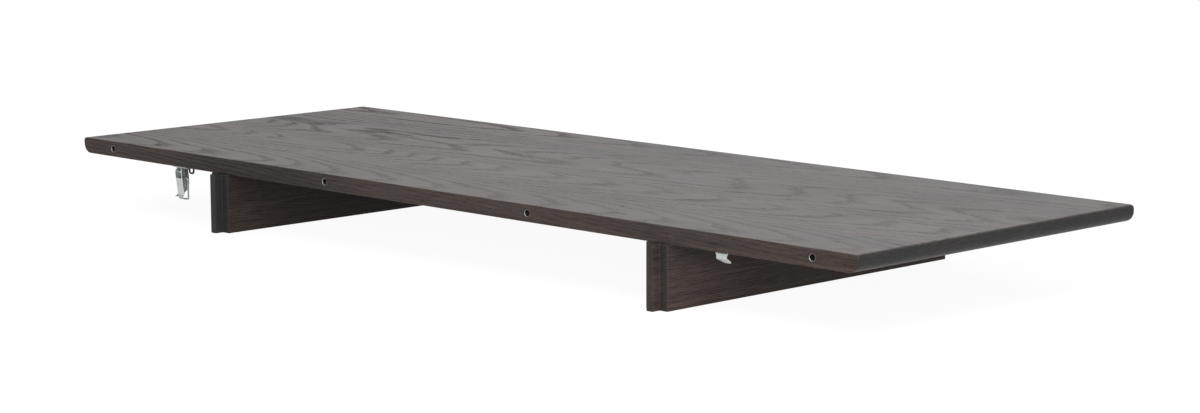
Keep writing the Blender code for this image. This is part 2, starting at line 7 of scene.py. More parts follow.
import bmesh
import bpy
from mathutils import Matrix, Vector


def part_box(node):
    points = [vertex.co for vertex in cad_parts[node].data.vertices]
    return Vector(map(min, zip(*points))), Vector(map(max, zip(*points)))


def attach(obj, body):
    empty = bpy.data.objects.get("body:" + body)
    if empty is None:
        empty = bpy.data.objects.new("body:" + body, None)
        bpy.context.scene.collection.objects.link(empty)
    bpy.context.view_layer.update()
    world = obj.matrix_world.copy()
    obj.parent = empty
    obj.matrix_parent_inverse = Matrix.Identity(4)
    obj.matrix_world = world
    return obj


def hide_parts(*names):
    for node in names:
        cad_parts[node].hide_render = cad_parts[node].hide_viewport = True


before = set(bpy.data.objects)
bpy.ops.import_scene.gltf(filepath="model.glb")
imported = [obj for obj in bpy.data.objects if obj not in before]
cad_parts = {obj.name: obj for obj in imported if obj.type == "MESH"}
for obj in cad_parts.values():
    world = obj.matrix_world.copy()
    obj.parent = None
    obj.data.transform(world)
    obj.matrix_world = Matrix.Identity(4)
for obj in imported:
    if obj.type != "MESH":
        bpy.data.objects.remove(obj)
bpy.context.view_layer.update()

LOG = logging.getLogger("table_leaf")

Piece = bpy.types.Object
Socket = bpy.types.NodeSocket
Triple = tuple[float, float, float]
Test = Callable[[Vector, Vector], bool]

# Sizes are in metres and angles in degrees
DOUBLE = 1e-6  # vertices this close together are one
NEAR = 1e-5  # a place this close to a plane counts as on it
RING = 2e-4  # the middle of a ring's edge lies this close to the ring's radius
SLIVER = 1e-4  # edges shorter than this are merged before a piece's edges are eased
SQUARE = 0.9  # a direction with at least this cosine to an axis counts as along it
OVERRUN = 0.002  # how far a cutter reaches past the face that it starts from
THROUGH = 0.05  # how far a cutter reaches past a small piece that it goes right through
DRILL = 0.01  # how far a drill reaches to both sides of where it starts
PLAY = 0.0002  # how much wider a hole is than its pin or wire
WHITE = (1.0, 1.0, 1.0, 1.0)


class Pick(Enum):
    """What a selection is made of."""

    VERTS = "VERT"
    EDGES = "EDGE"
    FACES = "FACE"


class Side(Enum):
    """The two ends of the leaf, by the sign of X."""

    LEFT = -1
    RIGHT = 1

    @property
    def word(self) -> str:
        """The side's name as the CAD nodes carry it."""
        return self.name.lower()


class Grain(Enum):
    """The order of the axes along the grain, across the face and through the thickness."""

    ALONG_LENGTH = "XYZ"
    ALONG_DEPTH = "YZX"


# Modelling bench


def clear_selection() -> None:
    """Deselect every object and leave object mode."""
    if bpy.context.object is not None and bpy.context.object.mode != "OBJECT":
        bpy.ops.object.mode_set(mode="OBJECT")
    bpy.ops.object.select_all(action="DESELECT")
    bpy.context.view_layer.objects.active = None


def take_up(piece: Piece) -> None:
    """Make a piece the only selected and active object.

    Args:
        piece: the object.
    """
    clear_selection()
    piece.select_set(True)
    bpy.context.view_layer.objects.active = piece


def started(name: str) -> Piece:
    """Name the primitive that was just added and put its place and size into its mesh.

    Args:
        name: the object's name.

    Returns:
        The object, at the origin and unscaled.
    """
    piece = bpy.context.object
    piece.name = name
    piece.data.name = name
    bpy.ops.object.transform_apply(location=True, rotation=True, scale=True)
    return piece


def block(name: str, low: Sequence[float], high: Sequence[float]) -> Piece:
    """Start a piece as a cube between two corners.

    Args:
        name: the object's name.
        low: lowest corner.
        high: highest corner.

    Returns:
        The new object.
    """
    clear_selection()
    middle = [(a + b) / 2 for a, b in zip(low, high)]
    size = [b - a for a, b in zip(low, high)]
    bpy.ops.mesh.primitive_cube_add(size=1.0, location=middle, scale=size)
    return started(name)


def rod(name: str, start: Sequence[float], end: Sequence[float], diameter: float, sides: int = 32) -> Piece:
    """Start a piece as a cylinder between two points.

    Args:
        name: the object's name.
        start: middle of the first end.
        end: middle of the other end.
        diameter: across the cylinder.
        sides: how many flat sides it has.

    Returns:
        The new object.
    """
    clear_selection()
    a, b = Vector(start), Vector(end)
    turn = (b - a).to_track_quat("Z", "Y").to_euler()
    bpy.ops.mesh.primitive_cylinder_add(vertices=sides, radius=diameter / 2, depth=(b - a).length,
                                        location=(a + b) / 2, rotation=turn)
    return started(name)


def anywhere(place: Vector, way: Vector) -> bool:
    """Pick every part."""
    return True


def pick(piece: Piece, what: Pick, test: Test) -> None:
    """Select parts of a mesh in edit mode by their place and direction.

    Args:
        piece: the object, which is left in edit mode.
        what: whether vertices, edges or faces are picked.
        test: takes a part's middle and its normal, or an edge's direction, and says whether to pick it.
    """
    take_up(piece)
    bpy.ops.object.mode_set(mode="EDIT")
    bpy.ops.mesh.select_mode(type=what.value)
    bpy.ops.mesh.select_all(action="DESELECT")
    mesh = bmesh.from_edit_mesh(piece.data)
    if what is Pick.FACES:
        parts = [(face, face.calc_center_median(), face.normal) for face in mesh.faces]
    elif what is Pick.EDGES:
        ends = [(edge, edge.verts[0].co, edge.verts[1].co) for edge in mesh.edges]
        parts = [(edge, (a + b) / 2, (b - a).normalized()) for edge, a, b in ends]
    else:
        parts = [(vert, vert.co, vert.normal) for vert in mesh.verts]
    chosen = [part for part, middle, way in parts if test(middle, way)]
    for part in chosen:
        part.select_set(True)
    mesh.select_flush_mode()
    bmesh.update_edit_mesh(piece.data)


def bevel(piece: Piece, test: Test, width: float, segments: int, what: Pick = Pick.EDGES) -> None:
    """Round picked edges or corners in edit mode.

    Args:
        piece: the object.
        test: picks the edges or vertices.
        width: radius of the rounding.
        segments: steps over the rounding.
        what: edges or vertices.
    """
    pick(piece, what, test)
    affect = "VERTICES" if what is Pick.VERTS else "EDGES"
    bpy.ops.mesh.bevel(offset_type="OFFSET", offset=width, segments=segments, profile=0.5, affect=affect,
                       clamp_overlap=True)
    bpy.ops.object.mode_set(mode="OBJECT")


def apply(piece: Piece, kind: str, **settings: object) -> None:
    """Add a modifier to a piece and apply it.

    Args:
        piece: the object.
        kind: the modifier's type.
        settings: the modifier's properties.
    """
    take_up(piece)
    step = piece.modifiers.new(kind.lower(), kind)
    for key, value in settings.items():
        setattr(step, key, value)
    bpy.ops.object.modifier_apply(modifier=step.name)


def cut(piece: Piece, tools: Iterable[Piece], operation: str = "DIFFERENCE") -> None:
    """Combine a piece with helper solids, which are then removed.

    Args:
        piece: the object that is kept.
        tools: the helper solids.
        operation: the Boolean's operation.
    """
    for tool in tools:
        apply(piece, "BOOLEAN", operation=operation, solver="EXACT", object=tool)
        bpy.data.objects.remove(tool, do_unlink=True)


def clean(piece: Piece, distance: float = DOUBLE) -> None:
    """Merge a mesh's doubled vertices and turn its faces outwards.

    Args:
        piece: the object.
        distance: how close together vertices have to be.
    """
    pick(piece, Pick.VERTS, anywhere)
    bpy.ops.mesh.remove_doubles(threshold=distance)
    bpy.ops.mesh.normals_make_consistent(inside=False)
    bpy.ops.object.mode_set(mode="OBJECT")


def ease_edges(piece: Piece, width: float, segments: int = 2, angle: float = 35.0) -> None:
    """Round every sharp edge of a piece a little."""
    apply(piece, "BEVEL", width=width, segments=segments, limit_method="ANGLE",
          angle_limit=math.radians(angle), miter_outer="MITER_ARC", use_clamp_overlap=True)


def smooth(piece: Piece, angle: float = 35.0) -> None:
    """Shade a piece smooth except across its edges, with flat faces kept flat.

    Args:
        piece: the object.
        angle: edges that turn by more stay sharp.
    """
    take_up(piece)
    bpy.ops.object.shade_smooth_by_angle(angle=math.radians(angle))
    apply(piece, "WEIGHTED_NORMAL", mode="FACE_AREA", weight=80, keep_sharp=True)


def put(piece: Piece, place: Sequence[float], tilt: float = 0.0, turn: float = 0.0) -> None:
    """Turn a piece, move it to its place and put both into its mesh.

    Args:
        piece: the object, modelled about the origin.
        place: where its origin goes.
        tilt: degrees about X, first.
        turn: degrees about Z.
    """
    take_up(piece)
    piece.rotation_euler = (math.radians(tilt), 0.0, math.radians(turn))
    piece.location = place
    bpy.ops.object.transform_apply(location=True, rotation=True, scale=True)


def screw_holes(piece: Piece, nodes: Iterable[str], shank: float) -> None:
    """Drill a piece for the screws that hold it.

    Args:
        piece: the object.
        nodes: the screws' CAD nodes.
        shank: the diameter of the holes.
    """
    for node in nodes:
        low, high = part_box(node)
        x, y = (low.x + high.x) / 2, (low.y + high.y) / 2
        cut(piece, (rod("screw_hole", (x, y, low.z - DRILL), (x, y, low.z + DRILL), shank, 24),))


def copied(piece: Piece, name: str) -> Piece:
    """Copy a piece with a mesh of its own.

    Args:
        piece: the object that is copied.
        name: the copy's name.

    Returns:
        The copy.
    """
    made = piece.copy()
    made.data = piece.data.copy()
    made.name = made.data.name = name
    bpy.context.scene.collection.objects.link(made)
    return made


def drawn(name: str, points: Sequence[Sequence[float]]) -> Piece:
    """Draw a line of edges by extruding a point.

    Args:
        name: the object's name.
        points: the line's points.

    Returns:
        The line, in edit mode with all of it selected.
    """
    clear_selection()
    bpy.ops.mesh.primitive_plane_add(size=0.001, location=points[0])
    piece = started(name)
    pick(piece, Pick.VERTS, anywhere)
    bpy.ops.mesh.merge(type="CENTER")
    for before, after in zip(points, points[1:]):
        step = tuple(b - a for a, b in zip(before, after))
        bpy.ops.mesh.extrude_vertices_move(TRANSFORM_OT_translate={"value": step})
    bpy.ops.mesh.select_all(action="SELECT")
    return piece


def traced(name: str, outline: Sequence[tuple[float, float]], start: float, end: float) -> Piece:
    """Draw an outline in the YZ plane, fill it and extrude it along X.

    Args:
        name: the object's name.
        outline: the outline's points as (y, z).
        start: where the solid begins along X.
        end: where it ends.

    Returns:
        The new object.
    """
    piece = drawn(name, [(start, y, z) for y, z in outline])
    bpy.ops.mesh.edge_face_add()
    bpy.ops.mesh.extrude_region_move(TRANSFORM_OT_translate={"value": (end - start, 0.0, 0.0)})
    bpy.ops.mesh.select_all(action="SELECT")
    bpy.ops.mesh.normals_make_consistent(inside=False)
    bpy.ops.object.mode_set(mode="OBJECT")
    return piece


def arc(centre: tuple[float, float], radius: float, start: float, end: float,
        steps: int = 12) -> list[tuple[float, float]]:
    """Return points of an arc in a plane.

    Args:
        centre: the arc's centre.
        radius: its radius.
        start: first angle in degrees.
        end: last angle in degrees.
        steps: how many steps it is drawn in.

    Returns:
        The points, both ends included.
    """
    turns = [math.radians(start + (end - start) * i / steps) for i in range(steps + 1)]
    return [(centre[0] + radius * math.cos(a), centre[1] + radius * math.sin(a)) for a in turns]


def hand_over(piece: Piece, node: str, body: str, material: bpy.types.Material) -> None:
    """Dress a finished piece and put it in the place of its CAD node.

    Args:
        piece: the finished piece.
        node: the CAD node that it stands for.
        body: the CAD body that it rides on.
        material: what it is dressed in.
    """
    piece.data.materials.clear()
    piece.data.materials.append(material)
    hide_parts(node)
    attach(piece, body)
    LOG.info("%s: %d faces, rides on %s", piece.name, len(piece.data.polygons), body)


class WireBender:
    """Bends a round wire from a ring of edges, by straight runs and turns."""

    def __init__(self, name: str, diameter: float, start: Sequence[float], along: Sequence[float]) -> None:
        """Start the wire.

        Args:
            name: the object's name.
            diameter: the wire's diameter.
            start: middle of its first end.
            along: the direction it sets out in.
        """
        clear_selection()
        turn = Vector(along).to_track_quat("Z", "Y").to_euler()
        bpy.ops.mesh.primitive_circle_add(vertices=16, radius=diameter / 2, fill_type="NOTHING",
                                          location=start, rotation=turn)
        self.piece = started(name)
        pick(self.piece, Pick.EDGES, anywhere)

    def run(self, step: Sequence[float]) -> "WireBender":
        """Go on straight by a step and return the bender."""
        bpy.ops.mesh.extrude_edges_move(TRANSFORM_OT_translate={"value": tuple(step)})
        return self

    def turn(self, centre: Sequence[float], axis: Sequence[float], degrees: float,
             steps: int = 8) -> "WireBender":
        """Bend the wire round a point.

        Args:
            centre: the middle of the bend.
            axis: the axis of the bend.
            degrees: how far it turns, by the right-hand rule.
            steps: how many steps the bend has.

        Returns:
            The bender.
        """
        bpy.ops.mesh.spin(steps=steps, angle=-math.radians(degrees), center=centre, axis=axis)
        return self

    def finished(self) -> Piece:
        """Close both ends.

        Returns:
            The wire.
        """
        bpy.ops.mesh.select_all(action="SELECT")
        bpy.ops.mesh.fill_holes(sides=0)
        clean(self.piece)
        return self.piece


# Finishes


class Wiring:
    """Adds and links the nodes of one tree."""

    def __init__(self, tree: bpy.types.NodeTree) -> None:
        """Keep the tree that nodes are added to."""
        self.tree = tree

    def node(self, kind: str, **settings: object) -> bpy.types.Node:
        """Add a node.

        Args:
            kind: the node's type.
            settings: the node's properties.

        Returns:
            The node.
        """
        made = self.tree.nodes.new(kind)
        for key, value in settings.items():
            setattr(made, key, value)
        return made

    def feed(self, socket: Socket, value: object) -> None:
        """Link a socket to another, or set its value.

        Args:
            socket: the input that is fed.
            value: an output, or a plain value.
        """
        if isinstance(value, bpy.types.NodeSocket):
            self.tree.links.new(value, socket)
        else:
            socket.default_value = value

    def math(self, operation: str, *values: object, clamp: bool = False) -> Socket:
        """Add a Math node.

        Args:
            operation: what it works out.
            values: what its inputs are fed with.
            clamp: whether the result is kept from 0 to 1.

        Returns:
            Its output.
        """
        made = self.node("ShaderNodeMath", operation=operation, use_clamp=clamp)
        for socket, value in zip(made.inputs, values):
            self.feed(socket, value)
        return made.outputs[0]

    def vector(self, operation: str, *values: object) -> Socket:
        """Add a Vector Math node.

        Args:
            operation: what it works out.
            values: what its inputs are fed with.

        Returns:
            Its output.
        """
        made = self.node("ShaderNodeVectorMath", operation=operation)
        for socket, value in zip(made.inputs, values):
            self.feed(socket, value)
        return made.outputs[0]

    def split(self, vector: Socket) -> bpy.types.bpy_prop_collection:
        """Take a vector apart.

        Args:
            vector: the vector.

        Returns:
            Its X, Y and Z.
        """
        made = self.node("ShaderNodeSeparateXYZ")
        self.feed(made.inputs[0], vector)
        return made.outputs

    def normal(self) -> bpy.types.bpy_prop_collection:
        """Return X, Y and Z of the surface's own normal."""
        return self.split(self.node("ShaderNodeTexCoord").outputs["Normal"])

    def scaled(self, vector: Socket, factors: Triple) -> Socket:
        """Multiply a vector by three factors and return the product."""
        return self.vector("MULTIPLY", vector, factors)

    def moved(self, vector: Socket, step: object) -> Socket:
        """Add a step to a vector and return the sum."""
        return self.vector("ADD", vector, step)

    def chance(self, value: Socket) -> bpy.types.bpy_prop_collection:
        """Draw a random value and colour for each value.

        Args:
            value: what the draw depends on.

        Returns:
            The outputs Value and Color.
        """
        made = self.node("ShaderNodeTexWhiteNoise", noise_dimensions="1D")
        self.feed(made.inputs["W"], value)
        return made.outputs

    def parts(self, colour: Socket) -> bpy.types.bpy_prop_collection:
        """Take a colour apart.

        Args:
            colour: the colour.

        Returns:
            Its red, green and blue.
        """
        made = self.node("ShaderNodeSeparateColor")
        self.feed(made.inputs[0], colour)
        return made.outputs

    def noise(self, vector: Socket, detail: float = 2.0, roughness: float = 0.5) -> Socket:
        """Add a noise of unit scale.

        Args:
            vector: where it is read.
            detail: how many finer layers it has.
            roughness: how strong the finer layers are.

        Returns:
            Its value.
        """
        made = self.node("ShaderNodeTexNoise", noise_dimensions="3D")
        self.feed(made.inputs["Vector"], vector)
        self.feed(made.inputs["Scale"], 1.0)
        self.feed(made.inputs["Detail"], detail)
        self.feed(made.inputs["Roughness"], roughness)
        return made.outputs["Fac"]

    def step(self, value: Socket, low: object, high: object, start: float = 0.0, end: float = 1.0) -> Socket:
        """Map a range smoothly onto another.

        Args:
            value: what is mapped.
            low: where the range begins.
            high: where it ends.
            start: result at low.
            end: result at high.

        Returns:
            The mapped value.
        """
        made = self.node("ShaderNodeMapRange", interpolation_type="SMOOTHSTEP")
        for name, item in (("Value", value), ("From Min", low), ("From Max", high), ("To Min", start),
                           ("To Max", end)):
            self.feed(made.inputs[name], item)
        return made.outputs["Result"]

    def mix(self, factor: object, first: object, second: object) -> Socket:
        """Mix two colours.

        Args:
            factor: share of the second colour.
            first: the first colour.
            second: the second colour.

        Returns:
            The mixed colour.
        """
        made = self.node("ShaderNodeMix", data_type="RGBA")
        self.feed(made.inputs[0], factor)
        self.feed(made.inputs[6], first)
        self.feed(made.inputs[7], second)
        return made.outputs[2]

    def ramp(self, value: Socket, stops: Sequence[tuple[float, Triple]]) -> Socket:
        """Turn a value into a colour.

        Args:
            value: from 0 to 1.
            stops: places and linear colours.

        Returns:
            The colour.
        """
        made = self.node("ShaderNodeValToRGB")
        marks = made.color_ramp.elements
        while len(marks) < len(stops):
            marks.new(0.5)
        for mark, (at, colour) in zip(marks, stops):
            mark.position = at
            mark.color = (*colour, 1.0)
        self.feed(made.inputs["Fac"], value)
        return made.outputs["Color"]

    def group(self, tree: bpy.types.NodeTree, **values: object) -> bpy.types.Node:
        """Place a node group.

        Args:
            tree: the group.
            values: what its inputs are fed with, underscores standing for spaces.

        Returns:
            Its node.
        """
        made = self.node("ShaderNodeGroup", node_tree=tree)
        for key, value in values.items():
            self.feed(made.inputs[key.replace("_", " ")], value)
        return made


def new_group(name: str, inputs: Sequence[tuple[str, str]],
              outputs: Sequence[str]) -> tuple[Wiring, dict[str, Socket], dict[str, Socket]]:
    """Start a shader node group.

    Args:
        name: the group's name.
        inputs: names and socket types of its inputs.
        outputs: names of its outputs, which are values.

    Returns:
        The wiring, the inputs to read from and the outputs to feed.
    """
    tree = bpy.data.node_groups.new(name, "ShaderNodeTree")
    for label, kind in inputs:
        tree.interface.new_socket(name=label, in_out="INPUT", socket_type=kind)
    for label in outputs:
        tree.interface.new_socket(name=label, in_out="OUTPUT", socket_type="NodeSocketFloat")
    wiring = Wiring(tree)
    source, sink = wiring.node("NodeGroupInput"), wiring.node("NodeGroupOutput")
    return (wiring, {label: source.outputs[label] for label, _ in inputs},
            {label: sink.inputs[label] for label in outputs})


FLOAT, VECTOR = "NodeSocketFloat", "NodeSocketVector"


@dataclass(frozen=True)
class OakFigure:
    """The figure of sawn oak staves: growth rings about a pith, pores, fibres and clouds.

    The scales are repeats per metre along the grain, across the face and through it.
    """

    ripple: Triple = (7.0, 60.0, 60.0)
    sway: Triple = (1.1, 5.0, 5.0)
    dip: Triple = (2.4, 1.5, 1.5)
    gaps: Triple = (38.0, 170.0, 170.0)
    vivid: Triple = (1.3, 3.0, 3.0)
    long_pores: Triple = (70.0, 1000.0, 1000.0)
    short_pores: Triple = (170.0, 2600.0, 2600.0)
    fibres: Triple = (26.0, 480.0, 480.0)
    streaks: Triple = (5.0, 190.0, 190.0)
    clouds: Triple = (2.6, 13.0, 13.0)
    stave_jump: Triple = (3.0, 5.0, 7.0)
    first_seam: float = 0.43
    pith_spread: float = 0.7
    pith_depth: tuple[float, float] = (0.06, 0.072)
    pith_slope: tuple[float, float] = (0.04, 0.022)
    half_log: float = 0.75
    ripple_share: float = 1.2
    sway_share: float = 4.0
    streak_share: float = 0.55
    redraw: float = 7.0
    year_jump: float = 17.0
    year_spread: tuple[float, float] = (0.6, 0.4)
    early_fade: tuple[float, float] = (0.04, 0.42)
    early_rise: tuple[float, float] = (0.92, 1.0)
    gap_edge: tuple[float, float] = (0.38, 0.62)
    gap_strength: tuple[float, float] = (0.35, 1.0)
    vivid_edge: tuple[float, float] = (0.36, 0.64)
    vivid_strength: tuple[float, float] = (0.65, 1.2)
    long_edge: tuple[float, float] = (0.54, 0.68)
    short_edge: tuple[float, float] = (0.54, 0.66)
    pore_crowd: tuple[float, float] = (0.75, 0.25)

    def pith_distance(self, w: Wiring, given: dict[str, Socket], inside: Socket, own: Socket,
                      draw: Socket) -> Socket:
        """Work out how far a place is from the pith of its stave, which slopes and sways along the grain.

        Args:
            w: the wiring of the group.
            given: the group's inputs.
            inside: place across the stave, from its middle.
            own: the vector, moved by a step of the stave's own.
            draw: the stave's random colour.

        Returns:
            The distance.
        """
        x, _, z = w.split(given["Vector"])
        first, second, third = w.parts(draw)
        pith = w.math("MULTIPLY", w.math("SUBTRACT", first, 0.5),
                      w.math("MULTIPLY", given["Stave Width"], self.pith_spread))
        way = w.math("SIGN", w.math("SUBTRACT", third, 0.5))
        again = w.math("FRACT", w.math("MULTIPLY", third, self.redraw))
        slope = w.math("MULTIPLY_ADD", again, *self.pith_slope)
        depth = w.math("ADD", z, w.math("MULTIPLY_ADD", second, *self.pith_depth))
        depth = w.math("MULTIPLY_ADD", slope, w.math("MULTIPLY_ADD", way, x, self.half_log), depth)
        dip = w.math("SUBTRACT", w.noise(w.scaled(own, self.dip), 1.0), 0.5)
        depth = w.math("MULTIPLY_ADD", dip, given["Swell"], depth)
        away = w.math("SUBTRACT", inside, w.math("ADD", pith, given["Pith Shift"]))
        square = w.math("ADD", w.math("MULTIPLY", away, away), w.math("MULTIPLY", depth, depth))
        distance = w.math("SQRT", square)
        warps = ((self.ripple, 2.0, self.ripple_share), (self.sway, 1.0, self.sway_share))
        for scale, detail, share in warps:
            bend = w.math("SUBTRACT", w.noise(w.scaled(own, scale), detail), 0.5)
            distance = w.math("MULTIPLY_ADD", bend, w.math("MULTIPLY", given["Warp"], share), distance)
        return distance

    def made(self) -> bpy.types.NodeTree:
        """Build the group.

        Returns:
            A group whose vector runs along the grain in X, across the face in Y and through it in Z.
        """
        numbers = ("Stave Width", "Ring Spacing", "Warp", "Seed", "Pith Shift", "Swell")
        inputs = [("Vector", VECTOR)] + [(label, FLOAT) for label in numbers]
        w, given, out = new_group("oak_figure", inputs, ("Rings", "Pores", "Fibres", "Cloud", "Stave Tone"))
        across = w.split(given["Vector"])["Y"]
        lane = w.math("ADD", w.math("DIVIDE", across, given["Stave Width"]), self.first_seam)
        index = w.math("ADD", w.math("FLOOR", lane), given["Seed"])
        inside = w.math("MULTIPLY", w.math("SUBTRACT", w.math("FRACT", lane), 0.5), given["Stave Width"])
        draw = w.chance(index)
        own = w.moved(given["Vector"], w.scaled(draw["Color"], self.stave_jump))
        radius = self.pith_distance(w, given, inside, own, draw["Color"])
        phase = w.math("DIVIDE", radius, given["Ring Spacing"])
        within = w.math("FRACT", phase)
        year = w.chance(w.math("MULTIPLY_ADD", index, self.year_jump, w.math("FLOOR", phase)))["Value"]
        fading = w.step(within, *self.early_fade, 1.0, 0.0)
        early = w.math("MAXIMUM", fading, w.step(within, *self.early_rise))
        broken = w.step(w.noise(w.scaled(own, self.gaps), 2.0, 0.6), *self.gap_edge, *self.gap_strength)
        vivid = w.step(w.noise(w.scaled(own, self.vivid), 1.0), *self.vivid_edge, *self.vivid_strength)
        strength = w.math("MULTIPLY_ADD", year, *self.year_spread)
        rings = w.math("MULTIPLY", w.math("MULTIPLY", early, broken), strength)
        w.feed(out["Rings"], w.math("MULTIPLY", rings, vivid))
        long = w.step(w.noise(w.scaled(own, self.long_pores), 2.0, 0.6), *self.long_edge)
        short = w.step(w.noise(w.scaled(own, self.short_pores), 1.0), *self.short_edge)
        crowd = w.math("MULTIPLY_ADD", early, *self.pore_crowd)
        w.feed(out["Pores"], w.math("MULTIPLY", w.math("MAXIMUM", short, long), crowd))
        fine = w.noise(w.scaled(own, self.fibres), 4.0, 0.6)
        streak = w.math("SUBTRACT", w.noise(w.scaled(own, self.streaks), 2.0), 0.5)
        w.feed(out["Fibres"], w.math("MULTIPLY_ADD", streak, self.streak_share, fine))
        w.feed(out["Cloud"], w.noise(w.scaled(own, self.clouds), 4.0, 0.6))
        w.feed(out["Stave Tone"], draw["Value"])
        return w.tree


def make_arris_wear() -> bpy.types.NodeTree:
    """Build the rubbed look of a box-shaped piece's edges.

    Returns:
        A group that puts out a mask, 1 on the edges and 0 away from them.
    """
    inputs = [("Vector", VECTOR), ("Centre", VECTOR), ("Half Size", VECTOR), ("Width", FLOAT)]
    w, given, out = new_group("arris_wear", inputs, ("Wear",))
    size = w.vector("ABSOLUTE", w.vector("SUBTRACT", given["Vector"], given["Centre"]))
    a, b, c = w.split(w.vector("SUBTRACT", given["Half Size"], size))
    nearest = w.math("MAXIMUM", w.math("MINIMUM", a, b), w.math("MINIMUM", w.math("MAXIMUM", a, b), c))
    patchy = w.noise(w.scaled(given["Vector"], (45.0, 45.0, 45.0)), 3.0, 0.6)
    reach = w.math("MULTIPLY", given["Width"], w.step(patchy, 0.35, 0.75, 0.2, 1.6))
    w.feed(out["Wear"], w.step(nearest, 0.0, reach, 1.0, 0.0))
    return w.tree


def make_handling() -> bpy.types.NodeTree:
    """Build the smears and fine dust of handling.

    Returns:
        A group that puts out a mask of smears.
    """
    w, given, out = new_group("handling", [("Vector", VECTOR), ("Size", FLOAT)], ("Smears",))
    size = w.node("ShaderNodeVectorMath", operation="SCALE")
    w.feed(size.inputs[0], given["Vector"])
    w.feed(size.inputs["Scale"], w.math("DIVIDE", 1.0, given["Size"]))
    broad = w.noise(size.outputs[0], 4.0, 0.6)
    fine = w.noise(w.scaled(size.outputs[0], (9.0, 13.0, 11.0)), 2.0, 0.6)
    broad = w.step(broad, 0.4, 0.72, 0.0, 0.7)
    w.feed(out["Smears"], w.math("MULTIPLY_ADD", w.step(fine, 0.3, 0.8), 0.3, broad))
    return w.tree


def make_drawn_metal() -> bpy.types.NodeTree:
    """Build the skin of rolled or drawn metal: fine lines one way and a mottle of crystals.

    Returns:
        A group that puts out the lines and the mottle.
    """
    inputs = [("Vector", VECTOR), ("Lines", VECTOR), ("Crystal", FLOAT)]
    w, given, out = new_group("drawn_metal", inputs, ("Lines", "Mottle"))
    cells = w.node("ShaderNodeTexVoronoi", feature="SMOOTH_F1")
    w.feed(cells.inputs["Vector"], given["Vector"])
    w.feed(cells.inputs["Scale"], w.math("DIVIDE", 1.0, given["Crystal"]))
    w.feed(out["Lines"], w.noise(w.vector("MULTIPLY", given["Vector"], given["Lines"]), 3.0, 0.7))
    w.feed(out["Mottle"], w.parts(cells.outputs["Color"])[0])
    return w.tree


class NodeGroups:
    """The shared effects, each built once."""

    def __init__(self) -> None:
        """Build every group."""
        self.oak_figure = OakFigure().made()
        self.arris_wear = make_arris_wear()
        self.handling = make_handling()
        self.drawn_metal = make_drawn_metal()


def new_material(name: str) -> tuple[bpy.types.Material, Wiring, bpy.types.Node, Socket]:
    """Start a node material.

    Args:
        name: the material's name.

    Returns:
        The material, its wiring, its Principled shader and its Object coordinates.
    """
    made = bpy.data.materials.new(name)
    made.use_nodes = True
    w = Wiring(made.node_tree)
    place = w.node("ShaderNodeTexCoord").outputs["Object"]
    return made, w, made.node_tree.nodes["Principled BSDF"], place


def blended(w: Wiring, parts: dict[str, Socket], start: object, shares: dict[str, float]) -> Socket:
    """Add up parts of a figure.

    Args:
        w: the wiring.
        parts: the figure's parts by their names.
        start: what the sum starts from.
        shares: how much of each part is added.

    Returns:
        The sum.
    """
    total = start
    for label, share in shares.items():
        total = w.math("MULTIPLY_ADD", parts[label], share, total)
    return total


# How much each part of the oak's figure counts in the surface
TONE_SHARES = {"Stave Tone": 0.14, "Cloud": 0.42, "Fibres": 1.10, "Rings": -0.22, "Pores": -0.45}
ROUGH_SHARES = {"Pores": 0.20, "Rings": 0.05}
SHEEN_SHARES = {"Rings": -0.62, "Fibres": 0.40, "Pores": -0.40}
DENT_SHARES = {"Fibres": 0.35, "Pores": -1.0}


